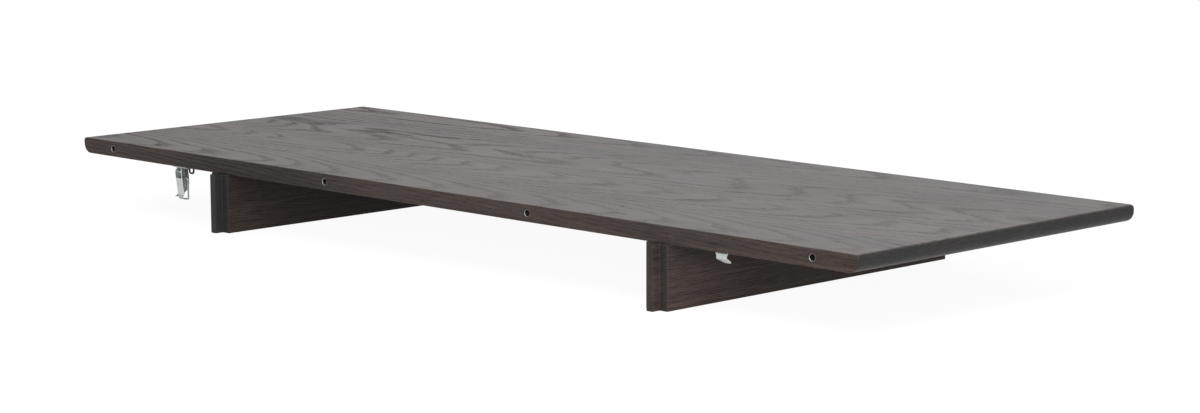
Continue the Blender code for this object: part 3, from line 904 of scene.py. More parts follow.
@dataclass(frozen=True)
class SmokedOak:
    """Smoked and lacquered oak on one piece.

    The colours are linear and can be scaled lighter or darker as painted light and shade. The box is the
    piece's own, for the wear on its edges.
    """

    name: str
    low: Triple
    high: Triple
    grain: Grain
    stave_width: float
    ring_spacing: float
    warp: float
    seed: float
    pith_shift: float = 0.0
    deep: Triple = (0.0120, 0.0078, 0.0066)
    middle: Triple = (0.0400, 0.0285, 0.0250)
    pale: Triple = (0.0820, 0.0600, 0.0530)
    cool_deep: Triple = (0.0095, 0.0080, 0.0074)
    cool_middle: Triple = (0.0290, 0.0250, 0.0235)
    cool_pale: Triple = (0.0600, 0.0520, 0.0490)
    rubbed: Triple = (0.115, 0.094, 0.085)
    roughness: float = 0.46
    figure: tuple[float, float] = (1.0, 1.0)
    swell: tuple[float, float] = (0.09, 0.09)
    end_tint: Triple = (0.0155, 0.0180, 0.0190)
    end_share: float = 0.75
    # how far from the near end the end tint reaches along the grain, as painted light
    end_soak: float = 0.0
    dark_stretch: float | None = None
    gloss: float = 0.05
    lacquer: float = 0.31
    # scales every colour of the piece: painted light where above 1, painted shade where below 1
    lightness: float = 1.0
    fade: tuple[float, float] = (-0.45, 0.05)
    tone: float = -0.24
    sheen: float = 0.90
    wear_width: float = 0.0012
    wear_share: float = 0.45
    smear_size: float = 0.16
    smear_rough: float = 0.07
    smear_start: float = -0.02
    side_on: tuple[float, float] = (0.45, 0.8)
    stretch_reach: tuple[float, float] = (0.06, 0.24)
    stretch_share: float = 0.5
    soak_edge: tuple[float, float] = (0.8, 1.2)
    cloud_edge: tuple[float, float] = (0.28, 0.54)
    middle_at: float = 0.45
    pore_depth: float = 0.00012
    pore_strength: float = 0.35
    refraction: float = 1.5

    @property
    def centre(self) -> Triple:
        """The middle of the piece."""
        return tuple((a + b) / 2 for a, b in zip(self.low, self.high))

    @property
    def half(self) -> Triple:
        """Half the piece's size."""
        return tuple((b - a) / 2 for a, b in zip(self.low, self.high))

    def facing(self, w: Wiring, axis: int) -> Socket:
        """Find the faces that lie across one axis of the grain.

        Args:
            w: the wiring.
            axis: 0 along the grain, 1 across the face.

        Returns:
            A mask, 1 on those faces.
        """
        across = w.math("ABSOLUTE", w.normal()[self.grain.value[axis]])
        return w.step(across, *self.side_on)

    def stretch(self, w: Wiring, along: Socket) -> Socket:
        """Find the darker stretch of the edges, which fades out to both sides.

        Args:
            w: the wiring.
            along: the place along the grain.

        Returns:
            A mask of how dark it is.
        """
        apart = w.math("ABSOLUTE", w.math("SUBTRACT", along, self.dark_stretch))
        share = w.step(apart, *self.stretch_reach, self.stretch_share, 0.0)
        return w.math("MULTIPLY", share, self.facing(w, 1))

    def stops(self, *colours: Triple) -> list[tuple[float, Triple]]:
        """Return ramp stops for a dark, a middle and a pale colour, scaled by this piece's painted light and
        shade.
        """
        shades = [tuple(self.lightness * part for part in colour) for colour in colours]
        return list(zip((0.0, self.middle_at, 1.0), shades))

    def grown(self, w: Wiring, place: Socket, groups: NodeGroups) -> tuple[Socket, dict[str, Socket]]:
        """Lay the oak's figure along the piece's grain, fading along it.

        Args:
            w: the wiring.
            place: the piece's own coordinates.
            groups: the shared effects.

        Returns:
            The place along the grain, from the piece's middle, and the figure's parts.
        """
        axes = w.split(w.moved(place, tuple(-c for c in self.centre)))
        turned = w.node("ShaderNodeCombineXYZ")
        for socket, letter in zip(turned.inputs, self.grain.value):
            w.feed(socket, axes[letter])
        along = axes[self.grain.value[0]]
        oak = w.group(groups.oak_figure, Vector=turned.outputs[0], Stave_Width=self.stave_width,
                      Ring_Spacing=self.ring_spacing, Warp=self.warp, Seed=self.seed,
                      Pith_Shift=self.pith_shift, Swell=w.step(along, *self.fade, *self.swell))
        parts = {socket.name: socket for socket in oak.outputs}
        strength = w.step(along, *self.fade, *self.figure)
        parts["Rings"] = w.math("MULTIPLY", parts["Rings"], strength)
        return along, parts

    def soaked(self, w: Wiring, along: Socket) -> Socket:
        """Find the end grain, with a stretch at the near end that takes the end tint as painted light.

        Args:
            w: the wiring.
            along: the place along the grain.

        Returns:
            A mask, 1 on the end grain and on the near stretch that carries painted light.
        """
        ends = self.facing(w, 0)
        if not self.end_soak:
            return ends
        near_end = -self.half["XYZ".index(self.grain.value[0])]
        limits = [near_end + edge * self.end_soak for edge in self.soak_edge]
        return w.math("MAXIMUM", ends, w.step(along, *limits, 1.0, 0.0))

    def colour(self, w: Wiring, along: Socket, parts: dict[str, Socket]) -> Socket:
        """Colour the oak: brown and grey patches, darker stretches and tinted ends, with painted light on a
        near stretch where one is set.

        Args:
            w: the wiring.
            along: the place along the grain.
            parts: the figure's parts.

        Returns:
            The colour before wear.
        """
        tone = blended(w, parts, self.tone, TONE_SHARES)
        brown = w.ramp(tone, self.stops(self.deep, self.middle, self.pale))
        grey = w.ramp(tone, self.stops(self.cool_deep, self.cool_middle, self.cool_pale))
        colour = w.mix(w.step(parts["Cloud"], *self.cloud_edge), grey, brown)
        if self.dark_stretch is not None:
            colour = w.mix(self.stretch(w, along), colour, (*self.cool_deep, 1.0))
        share = w.math("MULTIPLY", self.soaked(w, along), self.end_share)
        return w.mix(share, colour, (*self.end_tint, 1.0))

    def made(self, groups: NodeGroups) -> bpy.types.Material:
        """Build the material.

        Args:
            groups: the shared effects.

        Returns:
            The material.
        """
        material, w, shader, place = new_material(self.name)
        along, parts = self.grown(w, place, groups)
        wear = w.group(groups.arris_wear, Vector=place, Centre=self.centre, Half_Size=self.half,
                       Width=self.wear_width).outputs["Wear"]
        rub = w.math("MULTIPLY", wear, self.wear_share)
        w.feed(shader.inputs["Base Color"], w.mix(rub, self.colour(w, along, parts), (*self.rubbed, 1.0)))
        smears = w.group(groups.handling, Vector=place, Size=self.smear_size).outputs["Smears"]
        rough = w.math("MULTIPLY_ADD", smears, self.smear_rough, self.roughness + self.smear_start)
        w.feed(shader.inputs["Roughness"], blended(w, parts, rough, ROUGH_SHARES))
        sheen = blended(w, parts, self.sheen, SHEEN_SHARES)
        w.feed(shader.inputs["Coat Weight"], w.math("MULTIPLY", sheen, self.lacquer, clamp=True))
        relief = w.node("ShaderNodeBump")
        relief.inputs["Strength"].default_value = self.pore_strength
        relief.inputs["Distance"].default_value = self.pore_depth
        w.feed(relief.inputs["Height"], blended(w, parts, 0.0, DENT_SHARES))
        w.feed(shader.inputs["Normal"], relief.outputs["Normal"])
        shader.inputs["Coat Roughness"].default_value = self.roughness
        shader.inputs["Coat IOR"].default_value = self.refraction
        shader.inputs["IOR"].default_value = self.refraction
        shader.inputs["Specular IOR Level"].default_value = self.gloss
        return material


@dataclass(frozen=True)
class Metal:
    """A metal finish: lines of rolling or drawing, a mottled skin and maybe a stained front face."""

    name: str
    bright: Triple
    dull: Triple
    roughness: float
    spread: float
    lines: Triple
    crystal: float
    relief: float
    stain: Triple | None = None
    stain_share: float = 0.92
    stain_edge: tuple[float, float] = (-0.97, -0.90)
    mottle_share: float = 0.45
    smear_size: float = 0.011
    smear_rough: float = 0.12
    line_strength: float = 0.4

    def stained(self, w: Wiring, colour: Socket) -> Socket:
        """Return a colour with the stain laid over the flat faces that look towards the near side."""
        flat = w.step(w.normal()["Y"], *self.stain_edge, self.stain_share, 0.0)
        return w.mix(flat, colour, (*self.stain, 1.0))

    def made(self, groups: NodeGroups) -> bpy.types.Material:
        """Build the material.

        Args:
            groups: the shared effects.

        Returns:
            The material.
        """
        material, w, shader, place = new_material(self.name)
        skin = w.group(groups.drawn_metal, Vector=place, Lines=self.lines, Crystal=self.crystal).outputs
        smears = w.group(groups.handling, Vector=place, Size=self.smear_size).outputs["Smears"]
        tone = w.math("MULTIPLY", skin["Lines"], 1.0 - self.mottle_share)
        tone = w.math("MULTIPLY_ADD", skin["Mottle"], self.mottle_share, tone)
        colour = w.mix(tone, (*self.dull, 1.0), (*self.bright, 1.0))
        w.feed(shader.inputs["Base Color"], self.stained(w, colour) if self.stain else colour)
        rough = w.math("MULTIPLY_ADD", skin["Mottle"], self.spread, self.roughness - self.spread / 2)
        w.feed(shader.inputs["Roughness"], w.math("MULTIPLY_ADD", smears, self.smear_rough, rough))
        shader.inputs["Metallic"].default_value = 1.0
        bump = w.node("ShaderNodeBump")
        bump.inputs["Strength"].default_value = self.line_strength
        bump.inputs["Distance"].default_value = self.relief
        w.feed(bump.inputs["Height"], skin["Lines"])
        w.feed(shader.inputs["Normal"], bump.outputs["Normal"])
        return material


# Sub-assemblies


@dataclass
class Board:
    """The oak board of the leaf, square on its long edges and rounded at its ends."""

    top_radius: float = 0.005
    under_radius: float = 0.0135
    arris: float = 0.0008
    bush_bore: float = 0.0121
    bush_depth: float = 0.0186
    peg_bore: float = 0.0078
    peg_depth: float = 0.0223
    socket_places: tuple[float, ...] = (-0.634, -0.186, 0.186, 0.634)

    def build(self) -> Piece:
        """Model the board.

        Returns:
            The board.
        """
        low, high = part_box("leaf_board")
        piece = block("oak_board", low, high)
        ends = high.x - NEAR
        for level, radius, segments in ((high.z, self.top_radius, 12), (low.z, self.under_radius, 20)):
            bevel(piece, lambda p, d: abs(p.x) > ends and abs(p.z - level) < NEAR and abs(d.y) > SQUARE,
                  radius, segments)
        ease_edges(piece, self.arris, 3, 50.0)
        z = (low.z + high.z) / 2
        for x in self.socket_places:
            near = (x, low.y - OVERRUN, z), (x, low.y + self.bush_depth, z)
            far = (x, high.y + OVERRUN, z), (x, high.y - self.peg_depth, z)
            bores = rod("bush_bore", *near, self.bush_bore, 48), rod("peg_bore", *far, self.peg_bore, 40)
            cut(piece, bores)
        clean(piece)
        smooth(piece)
        return piece

    def dress(self, piece: Piece, groups: NodeGroups) -> None:
        """Give the board its oak and hand it over.

        Args:
            piece: the board.
            groups: the shared effects.
        """
        low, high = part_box("leaf_board")
        oak = SmokedOak("smoked_oak_board", tuple(low), tuple(high), Grain.ALONG_LENGTH, stave_width=0.104,
                        ring_spacing=0.0050, warp=0.0035, seed=3.0, figure=(1.55, 0.50), swell=(0.045, 0.010),
                        dark_stretch=-0.33)
        hand_over(piece, "leaf_board", "leaf", oak.made(groups))


@dataclass
class Apron:
    """One bearer across the leaf, with a tongue, a groove and counterbores for its screws."""

    side: Side
    tongue_thickness: float = 0.010
    tongue_length: float = 0.012
    groove_width: float = 0.0108
    groove_depth: float = 0.0124
    arris: float = 0.001
    counterbore: float = 0.012
    counterbore_depth: float = 0.048
    screw_places: tuple[float, ...] = (-0.18, 0.0, 0.18)

    @property
    def node(self) -> str:
        """The CAD node's name."""
        return f"{self.side.word}_apron"

    def build(self) -> Piece:
        """Model the apron.

        Returns:
            The apron.
        """
        low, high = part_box(self.node)
        middle, shoulder = (low.x + high.x) / 2, low.y + self.tongue_length
        piece = block(f"oak_{self.node}", (low.x, shoulder, low.z), high)
        half = self.tongue_thickness / 2
        for hand in (-1, 1):
            pick(piece, Pick.FACES, lambda p, n: n.y < -SQUARE)
            bpy.ops.mesh.bisect(plane_co=(middle + hand * half, 0.0, 0.0), plane_no=(1.0, 0.0, 0.0))
            bpy.ops.object.mode_set(mode="OBJECT")
        pick(piece, Pick.FACES, lambda p, n: n.y < -SQUARE and abs(p.x - middle) < half)
        bpy.ops.mesh.extrude_region_move(TRANSFORM_OT_translate={"value": (0.0, -self.tongue_length, 0.0)})
        bpy.ops.object.mode_set(mode="OBJECT")
        half = self.groove_width / 2
        groove = block("groove", (middle - half, high.y - self.groove_depth, low.z - OVERRUN),
                       (middle + half, high.y + OVERRUN, high.z + OVERRUN))
        cut(piece, (groove,))
        clean(piece)
        ease_edges(piece, self.arris, 3, 50.0)
        for y in self.screw_places:
            foot, seat = (middle, y, -OVERRUN), (middle, y, self.counterbore_depth)
            cut(piece, (rod("counterbore", foot, seat, self.counterbore, 40),))
        clean(piece)
        smooth(piece)
        return piece

    def dress(self, piece: Piece, groups: NodeGroups) -> None:
        """Give the apron its oak and hand it over.

        Args:
            piece: the apron.
            groups: the shared effects.
        """
        low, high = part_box(self.node)
        right = self.side is Side.RIGHT
        # The right apron's colours are painted lighter and the left's darker, as painted light and shade; the
        # left apron's tongue gets a lighter, cooler end tint along its length as painted light
        oak = SmokedOak(f"smoked_oak_{self.node}", tuple(low), tuple(high), Grain.ALONG_DEPTH,
                        stave_width=0.4, ring_spacing=0.0026, warp=0.0032, seed=11.0 + 3 * self.side.value,
                        pith_shift=-0.35, figure=(1.5, 1.5), lacquer=0.24, lightness=1.25 if right else 0.70,
                        end_tint=(0.020, 0.023, 0.024) if right else (0.031, 0.034, 0.035),
                        end_share=0.5 if right else 0.75, end_soak=0.0 if right else self.tongue_length)
        hand_over(piece, self.node, "leaf", oak.made(groups))


@dataclass
class EdgeFittings:
    """The bushes in the near edge and the pegs in the far edge."""

    bore: float = 0.0076
    mouth_chamfer: float = 0.0008
    rim_round: float = 0.0003
    peg_tip: float = 0.002
    neck_back: float = 0.0064
    neck_depth: float = 0.00025
    neck_width: float = 0.0008
    count: int = 4

    def build_bush(self, name: str, node: str) -> Piece:
        """Model one bush: a turned sleeve with an eased rim and a chamfered mouth.

        Args:
            name: the piece's name.
            node: the CAD node that it stands for.

        Returns:
            The bush.
        """
        low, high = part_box(node)
        x, z, outside = (low.x + high.x) / 2, (low.z + high.z) / 2, high.x - low.x
        piece = rod(name, (x, low.y, z), (x, high.y, z), outside, 48)
        bore = rod("bore", (x, low.y - OVERRUN, z), (x, high.y + OVERRUN, z), self.bore, 48)
        cut(piece, (bore,))
        clean(piece)
        edges = ((self.bore / 2, self.mouth_chamfer, 5), (outside / 2, self.rim_round, 2))
        for radius, width, segments in edges:
            bevel(piece, lambda p, d: p.y < low.y + NEAR
                  and abs(math.hypot(p.x - x, p.z - z) - radius) < RING, width, segments)
        smooth(piece)
        return piece

    def build_peg(self, name: str, node: str) -> Piece:
        """Model one peg: a turned pin with a round tip and a narrow neck.

        Args:
            name: the piece's name.
            node: the CAD node that it stands for.

        Returns:
            The peg.
        """
        low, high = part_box(node)
        x, z, radius = (low.x + high.x) / 2, (low.z + high.z) / 2, (high.x - low.x) / 2
        piece = rod(name, (x, low.y, z), (x, high.y, z), 2 * radius, 40)
        bevel(piece, lambda p, d: p.y > high.y - NEAR, self.peg_tip, 6)
        seat, inner = high.y - self.neck_back, radius - self.neck_depth
        ring = rod("neck", (x, seat, z), (x, seat + self.neck_width, z), 3 * radius, 40)
        core = rod("core", (x, seat - OVERRUN, z), (x, seat + 2 * OVERRUN, z), 2 * inner, 40)
        cut(ring, (core,))
        cut(piece, (ring,))
        clean(piece)
        smooth(piece)
        return piece

    def make(self, metal: bpy.types.Material) -> None:
        """Model, dress and hand over every bush and peg.

        Args:
            metal: their finish.
        """
        for k in range(1, self.count + 1):
            bush = self.build_bush(f"turned_bush_{k}", f"socket_bush_{k}")
            hand_over(bush, f"socket_bush_{k}", "leaf", metal)
            peg = self.build_peg(f"turned_peg_{k}", f"peg_{k}")
            hand_over(peg, f"peg_{k}", "leaf", metal)


@dataclass
class WoodScrew:
    """A wood screw with a domed head and a cross recess, head down.

    The point is measured in shanks, and the recess in heads and heights of the head.
    """

    head: float
    head_height: float
    shank: float
    length: float
    point: float = 1.6
    tip_radius: float = 0.0001
    recess_span: float = 0.56
    recess_width: float = 0.17
    recess_foot: float = 1.4
    recess_floor: float = 0.28
    recess_taper: tuple[float, float] = (0.45, 0.8)

    def build(self, name: str) -> Piece:
        """Model the screw about the seat of its head.

        Args:
            name: the piece's name.

        Returns:
            The screw, its head below the origin.
        """
        dome = [(self.head / 2 * r, -self.head_height * h) for r, h in arc((0.0, 0.0), 1.0, 90, 0, 10)]
        point = self.length - self.point * self.shank
        shaft = [(self.shank / 2, 0.0), (self.shank / 2, point), (self.tip_radius, self.length)]
        piece = drawn(name, [(r, 0.0, z) for r, z in dome + shaft])
        bpy.ops.mesh.spin(steps=32, angle=2 * math.pi, center=(0.0, 0.0, 0.0), axis=(0.0, 0.0, 1.0))
        bpy.ops.mesh.select_all(action="SELECT")
        bpy.ops.mesh.remove_doubles(threshold=DOUBLE)
        bpy.ops.mesh.fill_holes(sides=0)
        bpy.ops.object.mode_set(mode="OBJECT")
        clean(piece)
        cut(piece, self.recess())
        clean(piece)
        smooth(piece, 40.0)
        return piece

    def recess(self) -> list[Piece]:
        """Model the cutters of the cross recess, tapered towards their bottom.

        Returns:
            The two cutters.
        """
        wings = []
        long, wide = self.recess_span * self.head / 2, self.recess_width * self.head / 2
        foot, floor = -self.recess_foot * self.head_height, -self.recess_floor * self.head_height
        ends, sides = self.recess_taper
        for half, taper in (((long, wide), (ends, sides, 1.0)), ((wide, long), (sides, ends, 1.0))):
            wing = block("wing", (-half[0], -half[1], foot), (*half, floor))
            pick(wing, Pick.FACES, lambda p, n: n.z > SQUARE)
            bpy.ops.transform.resize(value=taper)
            bpy.ops.object.mode_set(mode="OBJECT")
            wings.append(wing)
        return wings


@dataclass
class Fitting:
    """A fitting under a long edge, modelled as it stands on the left and given half a turn on the right."""

    side: Side

    @property
    def turn(self) -> float:
        """Degrees that the fitting is turned about Z."""
        return 180.0 if self.side is Side.RIGHT else 0.0

    def own_box(self, node: str) -> tuple[Vector, Vector]:
        """Find a node's box as it is before the half turn.

        Args:
            node: the CAD node.

        Returns:
            Its lowest and highest corner.
        """
        low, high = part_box(node)
        if self.side is Side.LEFT:
            return low, high
        return Vector((-high.x, -high.y, low.z)), Vector((-low.x, -low.y, high.z))

    def face(self, piece: Piece) -> Piece:
        """Give a piece its half turn, if it has one, and return it."""
        put(piece, (0.0, 0.0, 0.0), 0.0, self.turn)
        return piece


@dataclass
class Keeper(Fitting):
    """A steel hook under a long edge that takes the bail of the next leaf."""

    sheet: float = 0.0018
    bend: float = 0.0022
    plate_width: float = 0.017
    neck_width: float = 0.0148
    neck_top: float = 0.0734
    toe_width: float = 0.009
    toe_slope: float = 27.0
    toe_reach: float = 0.0116
    toe_corner: float = 0.0025
    plate_corner: float = 0.003
    bar_z: float = 0.071
    bar_gap: float = 0.0026
    screw_hole: float = 0.0041
    edge: float = 0.0003

    @property
    def node(self) -> str:
        """The CAD node's name."""
        return f"{self.side.word}_keeper"

    def fold(self, low: Vector, high: Vector) -> Piece:
        """Fold a strip into a plate, a face and a toe that slopes away.

        Args:
            low: the keeper's lowest corner.
            high: its highest corner.

        Returns:
            The folded middle surface of the sheet.
        """
        slope = math.radians(self.toe_slope)
        level, front = high.z - self.sheet / 2, high.y - self.sheet / 2
        flat_end, x = front - self.bend, (low.x + high.x) / 2
        foot = self.bar_z - self.bar_gap / math.cos(slope) + self.bar_gap * math.tan(slope)
        run = self.bend * math.tan((math.pi / 2 - slope) / 2)
        toe, across = self.toe_reach - run * math.cos(slope), (1.0, 0.0, 0.0)
        clear_selection()
        bpy.ops.mesh.primitive_plane_add(size=1.0, location=(x, (low.y + flat_end) / 2, level))
        bpy.context.object.scale = (self.plate_width, flat_end - low.y, 1.0)
        piece = started(f"steel_{self.node}")
        pick(piece, Pick.EDGES, lambda p, d: p.y > flat_end - NEAR)
        bpy.ops.mesh.spin(steps=8, angle=math.pi / 2, center=(x, flat_end, level - self.bend), axis=across)
        self.draw((0.0, 0.0, self.neck_top - level + self.bend), self.neck_width / self.plate_width)
        self.draw((0.0, 0.0, foot + run - self.neck_top), 1.0)
        bpy.ops.mesh.spin(steps=6, angle=math.pi / 2 - slope, center=(x, flat_end, foot + run), axis=across)
        self.draw((0.0, -toe, -toe * math.tan(slope)), self.toe_width / self.neck_width)
        bpy.ops.object.mode_set(mode="OBJECT")
        clean(piece)
        bevel(piece, lambda p, n: p.y < low.y + NEAR, self.plate_corner, 6, Pick.VERTS)
        lowest = min(vertex.co.z for vertex in piece.data.vertices)
        bevel(piece, lambda p, n: p.z < lowest + NEAR, self.toe_corner, 6, Pick.VERTS)
        return piece

    def draw(self, step: Triple, widen: float) -> None:
        """Extrude the selected edge by a step and scale it along X."""
        bpy.ops.mesh.extrude_edges_move(TRANSFORM_OT_translate={"value": step})
        bpy.ops.transform.resize(value=(widen, 1.0, 1.0))

    def build(self) -> Piece:
        """Model the keeper.

        Returns:
            The keeper.
        """
        piece = self.fold(*self.own_box(self.node))
        apply(piece, "SOLIDIFY", thickness=self.sheet, offset=0.0, use_even_offset=True)
        self.face(piece)
        screw_holes(piece, [f"{self.node}_screw_{k}" for k in (1, 2)], self.screw_hole)
        clean(piece)
        ease_edges(piece, self.edge)
        clean(piece)
        smooth(piece)
        return piece


@dataclass
class ToggleLatch(Fitting):
    """A toggle latch under a long edge: base, hoop, pin, lever and bail."""

    pivot: Triple
    lever_turn: float
    bail_turn: float
    base_sheet: float = 0.0015
    base_corner: float = 0.004
    ear_radius: float = 0.0045
    ear_foot: float = 0.011
    ear_outside: float = 0.0054
    lever_half: float = 0.007
    lever_sheet: float = 0.0012
    lever_length: float = 0.0265
    web_drop: float = 0.006
    tip_flange: float = 0.0025
    fork_depth: float = 0.007
    fork_shoulder: float = 0.00015
    fold_inside: float = 0.0006
    rim_radius: float = 0.0005
    web_relief: float = 0.0001
    panel_half: float = 0.0034
    panel_margin: float = 0.0022
    panel_depth: float = 0.0003
    lip_radius: float = 0.0035
    lip_reach: float = 0.0015
    pin: float = 0.0035
    bail_wire: float = 0.0024
    bail_pivot: tuple[float, float] = (0.008, 0.0015)
    bail_length: float = 0.02805
    bail_half: float = 0.0098
    bail_corner: float = 0.0020
    bail_end: float = 0.0015
    hoop_wire: float = 0.0026
    hoop_distance: float = 0.0165
    hoop_half: float = 0.0044
    hoop_corner: float = 0.003
    screw_hole: float = 0.0041
    base_edge: float = 0.00025
    lever_edge: float = 0.00012
    pin_round: float = 0.0004
    fork_corner: float = 0.0015
    panel_corner: float = 0.00136
    belly_lead: tuple[float, float] = (-0.004, 0.007)
    belly_crest: float = 0.016
    belly_steps: int = 24

    def build_base(self) -> Piece:
        """Model the base plate with its two folded ears.

        Returns:
            The base.
        """
        low, high = self.own_box(f"{self.side.word}_latch_base")
        under = high.z - self.base_sheet
        x, y, z = self.pivot
        piece = block(f"steel_{self.side.word}_latch_base", (low.x, low.y, under), high)
        bevel(piece, lambda p, d: abs(d.z) > SQUARE, self.base_corner, 8)
        root = high.z - self.base_sheet / 2
        outline = [(y + self.ear_foot, root), (low.y, root)] + arc((y, z), self.ear_radius, 180, 360, 16)
        ears = []
        for hand in (-1, 1):
            faces = sorted((x + hand * self.ear_outside, x + hand * (self.ear_outside - self.base_sheet)))
            ears.append(traced("ear", outline, *faces))
        cut(piece, ears, "UNION")
        hole = rod("pin_hole", (x - DRILL, y, z), (x + DRILL, y, z), self.pin + PLAY, 32)
        cut(piece, (hole,))
        self.face(piece)
        screw_holes(piece, [f"{self.side.word}_latch_screw_{k}" for k in range(1, 5)], self.screw_hole)
        clean(piece, SLIVER)
        ease_edges(piece, self.base_edge)
        clean(piece)
        smooth(piece)
        return piece

    def build_hoop(self) -> Piece:
        """Bend the wire hoop that grips the closed lever.

        Returns:
            The hoop.
        """
        low, high = self.own_box(f"{self.side.word}_latch_hoop")
        x, y, r = self.pivot[0], self.pivot[1] + self.hoop_distance, self.hoop_corner
        bottom = low.z + self.hoop_wire / 2
        name, start = f"wire_{self.side.word}_hoop", (x - self.hoop_half, y, high.z)
        bender = WireBender(name, self.hoop_wire, start, (0.0, 0.0, -1.0))
        bender.run((0.0, 0.0, bottom + r - high.z))
        bender.turn((x - self.hoop_half + r, y, bottom + r), (0.0, 1.0, 0.0), -90)
        bender.run((2 * (self.hoop_half - r), 0.0, 0.0))
        bender.turn((x + self.hoop_half - r, y, bottom + r), (0.0, 1.0, 0.0), -90)
        bender.run((0.0, 0.0, high.z - bottom - r))
        piece = self.face(bender.finished())
        smooth(piece, 60.0)
        return piece

    def build_pin(self) -> Piece:
        """Model the lever's pin with rounded ends.

        Returns:
            The pin.
        """
        low, high = self.own_box(f"{self.side.word}_lever_pin")
        y, z = self.pivot[1:]
        piece = rod(f"steel_{self.side.word}_pin", (low.x, y, z), (high.x, y, z), self.pin, 32)
        bevel(piece, lambda p, d: p.x < low.x + NEAR or p.x > high.x - NEAR, self.pin_round, 4)
        self.face(piece)
        smooth(piece)
        return piece

    def lever_outline(self) -> list[tuple[float, float]]:
        """Draw the closed lever from the side: round head, curled lip and belly.

        Returns:
            The outline's points about the pivot.
        """
        drop, sheet = self.web_drop, self.lever_sheet
        head = arc((0.0, 0.0), drop, 90, 270, 24)
        flat_end = self.lever_length - sheet
        centre = (self.lever_length, -drop - self.lip_radius)
        low = centre[1] - self.lip_reach
        front = arc(centre, self.lip_radius, 90, 0, 12)
        back = arc(centre, self.lip_radius + sheet, 0, 90, 12)
        tip = (flat_end, -drop + sheet + self.tip_flange)
        lead = (tip[0] + self.belly_lead[0], tip[1] + self.belly_lead[1])
        pulls = (tip, lead, (self.belly_crest, drop), head[0])
        belly = []
        for i in range(self.belly_steps):
            t = i / self.belly_steps
            weights = ((1 - t) ** 3, 3 * t * (1 - t) ** 2, 3 * t * t * (1 - t), t ** 3)
            belly.append(tuple(sum(w * p[k] for w, p in zip(weights, pulls)) for k in (0, 1)))
        return head + front + [(front[-1][0], low), (back[0][0], low)] + back + belly

    def build_lever(self) -> Piece:
        """Model the lever as a folded channel with a forked head, turned to its rest angle.

        Returns:
            The lever.
        """
        half, drop = self.lever_half, self.web_drop
        channel = half - self.lever_sheet
        piece = traced(f"steel_{self.side.word}_lever", self.lever_outline(), -half, half)
        bevel(piece, lambda p, d: abs(abs(p.x) - half) < NEAR, self.rim_radius, 4)
        floor = -drop + self.lever_sheet - self.web_relief
        hollow = block("hollow", (-channel, -THROUGH, floor), (channel, THROUGH, THROUGH))
        bevel(hollow, lambda p, d: abs(d.y) > SQUARE and p.z < 0.0, self.fold_inside, 4)
        gap = channel - self.fork_shoulder
        fork = block("fork", (-gap, -THROUGH, -THROUGH), (gap, self.fork_depth, THROUGH))
        bevel(fork, lambda p, d: abs(d.z) > SQUARE and p.y > 0.0, self.fork_corner, 5)
        reach, (y, z) = 2 * DRILL, self.bail_pivot
        pin_hole = rod("pin_hole", (-reach, 0.0, 0.0), (reach, 0.0, 0.0), self.pin + PLAY, 32)
        bail_hole = rod("bail_hole", (-reach, y, z), (reach, y, z), self.bail_wire + PLAY, 32)
        start = self.fork_depth + self.panel_margin
        end = self.lever_length - self.lever_sheet - self.panel_margin
        panel = block("panel", (-self.panel_half, start, -drop - OVERRUN),
                      (self.panel_half, end, -drop + self.panel_depth))
        bevel(panel, lambda p, d: abs(d.z) > SQUARE, self.panel_corner, 5)
        cut(piece, (hollow, fork, pin_hole, bail_hole, panel))
        clean(piece, SLIVER)
        ease_edges(piece, self.lever_edge, angle=40.0)
        clean(piece)
        put(piece, self.pivot, self.lever_turn)
        self.face(piece)
        smooth(piece)
        return piece

    def build_bail(self) -> Piece:
        """Bend the wire bail that the lever draws and hang it at its rest angle.

        Returns:
            The bail.
        """
        end, half, length = self.ear_outside, self.bail_half, self.bail_length
        r, e, up = self.bail_corner, self.bail_end, (0.0, 0.0, 1.0)
        bender = WireBender(f"wire_{self.side.word}_bail", self.bail_wire, (end, 0.0, 0.0), (1.0, 0.0, 0.0))
        bender.run((half - e - end, 0.0, 0.0)).turn((half - e, e, 0.0), up, 90, 6)
        bender.run((0.0, length - r - e, 0.0)).turn((half - r, length - r, 0.0), up, 90)
        bender.run((2 * (r - half), 0.0, 0.0)).turn((r - half, length - r, 0.0), up, 90)
        bender.run((0.0, r + e - length, 0.0)).turn((e - half, e, 0.0), up, 90, 6)
        bender.run((half - e - end, 0.0, 0.0))
        piece = bender.finished()
        turn = math.radians(self.lever_turn)
        along, rise = self.bail_pivot
        x, y, z = self.pivot
        place = (x, y + along * math.cos(turn) - rise * math.sin(turn),
                 z + along * math.sin(turn) + rise * math.cos(turn))
        put(piece, place, self.lever_turn + self.bail_turn)
        self.face(piece)
        smooth(piece, 60.0)
        return piece

    def make(self, zinc: bpy.types.Material, zinc_wire: bpy.types.Material,
             painted_shade_wire: bpy.types.Material) -> None:
        """Model, dress and hand over the latch.

        Args:
            zinc: finish of the pressed parts and of the pin.
            zinc_wire: finish of the bail.
            painted_shade_wire: finish of the hoop, its very dark colour painted shade.
        """
        word = self.side.word
        hand_over(self.build_base(), f"{word}_latch_base", "leaf", zinc)
        hand_over(self.build_hoop(), f"{word}_latch_hoop", "leaf", painted_shade_wire)
        hand_over(self.build_pin(), f"{word}_lever_pin", "leaf", zinc)
        hand_over(self.build_lever(), f"{word}_lever", f"{word}_lever", zinc)
        hand_over(self.build_bail(), f"{word}_bail", f"{word}_bail", zinc_wire)


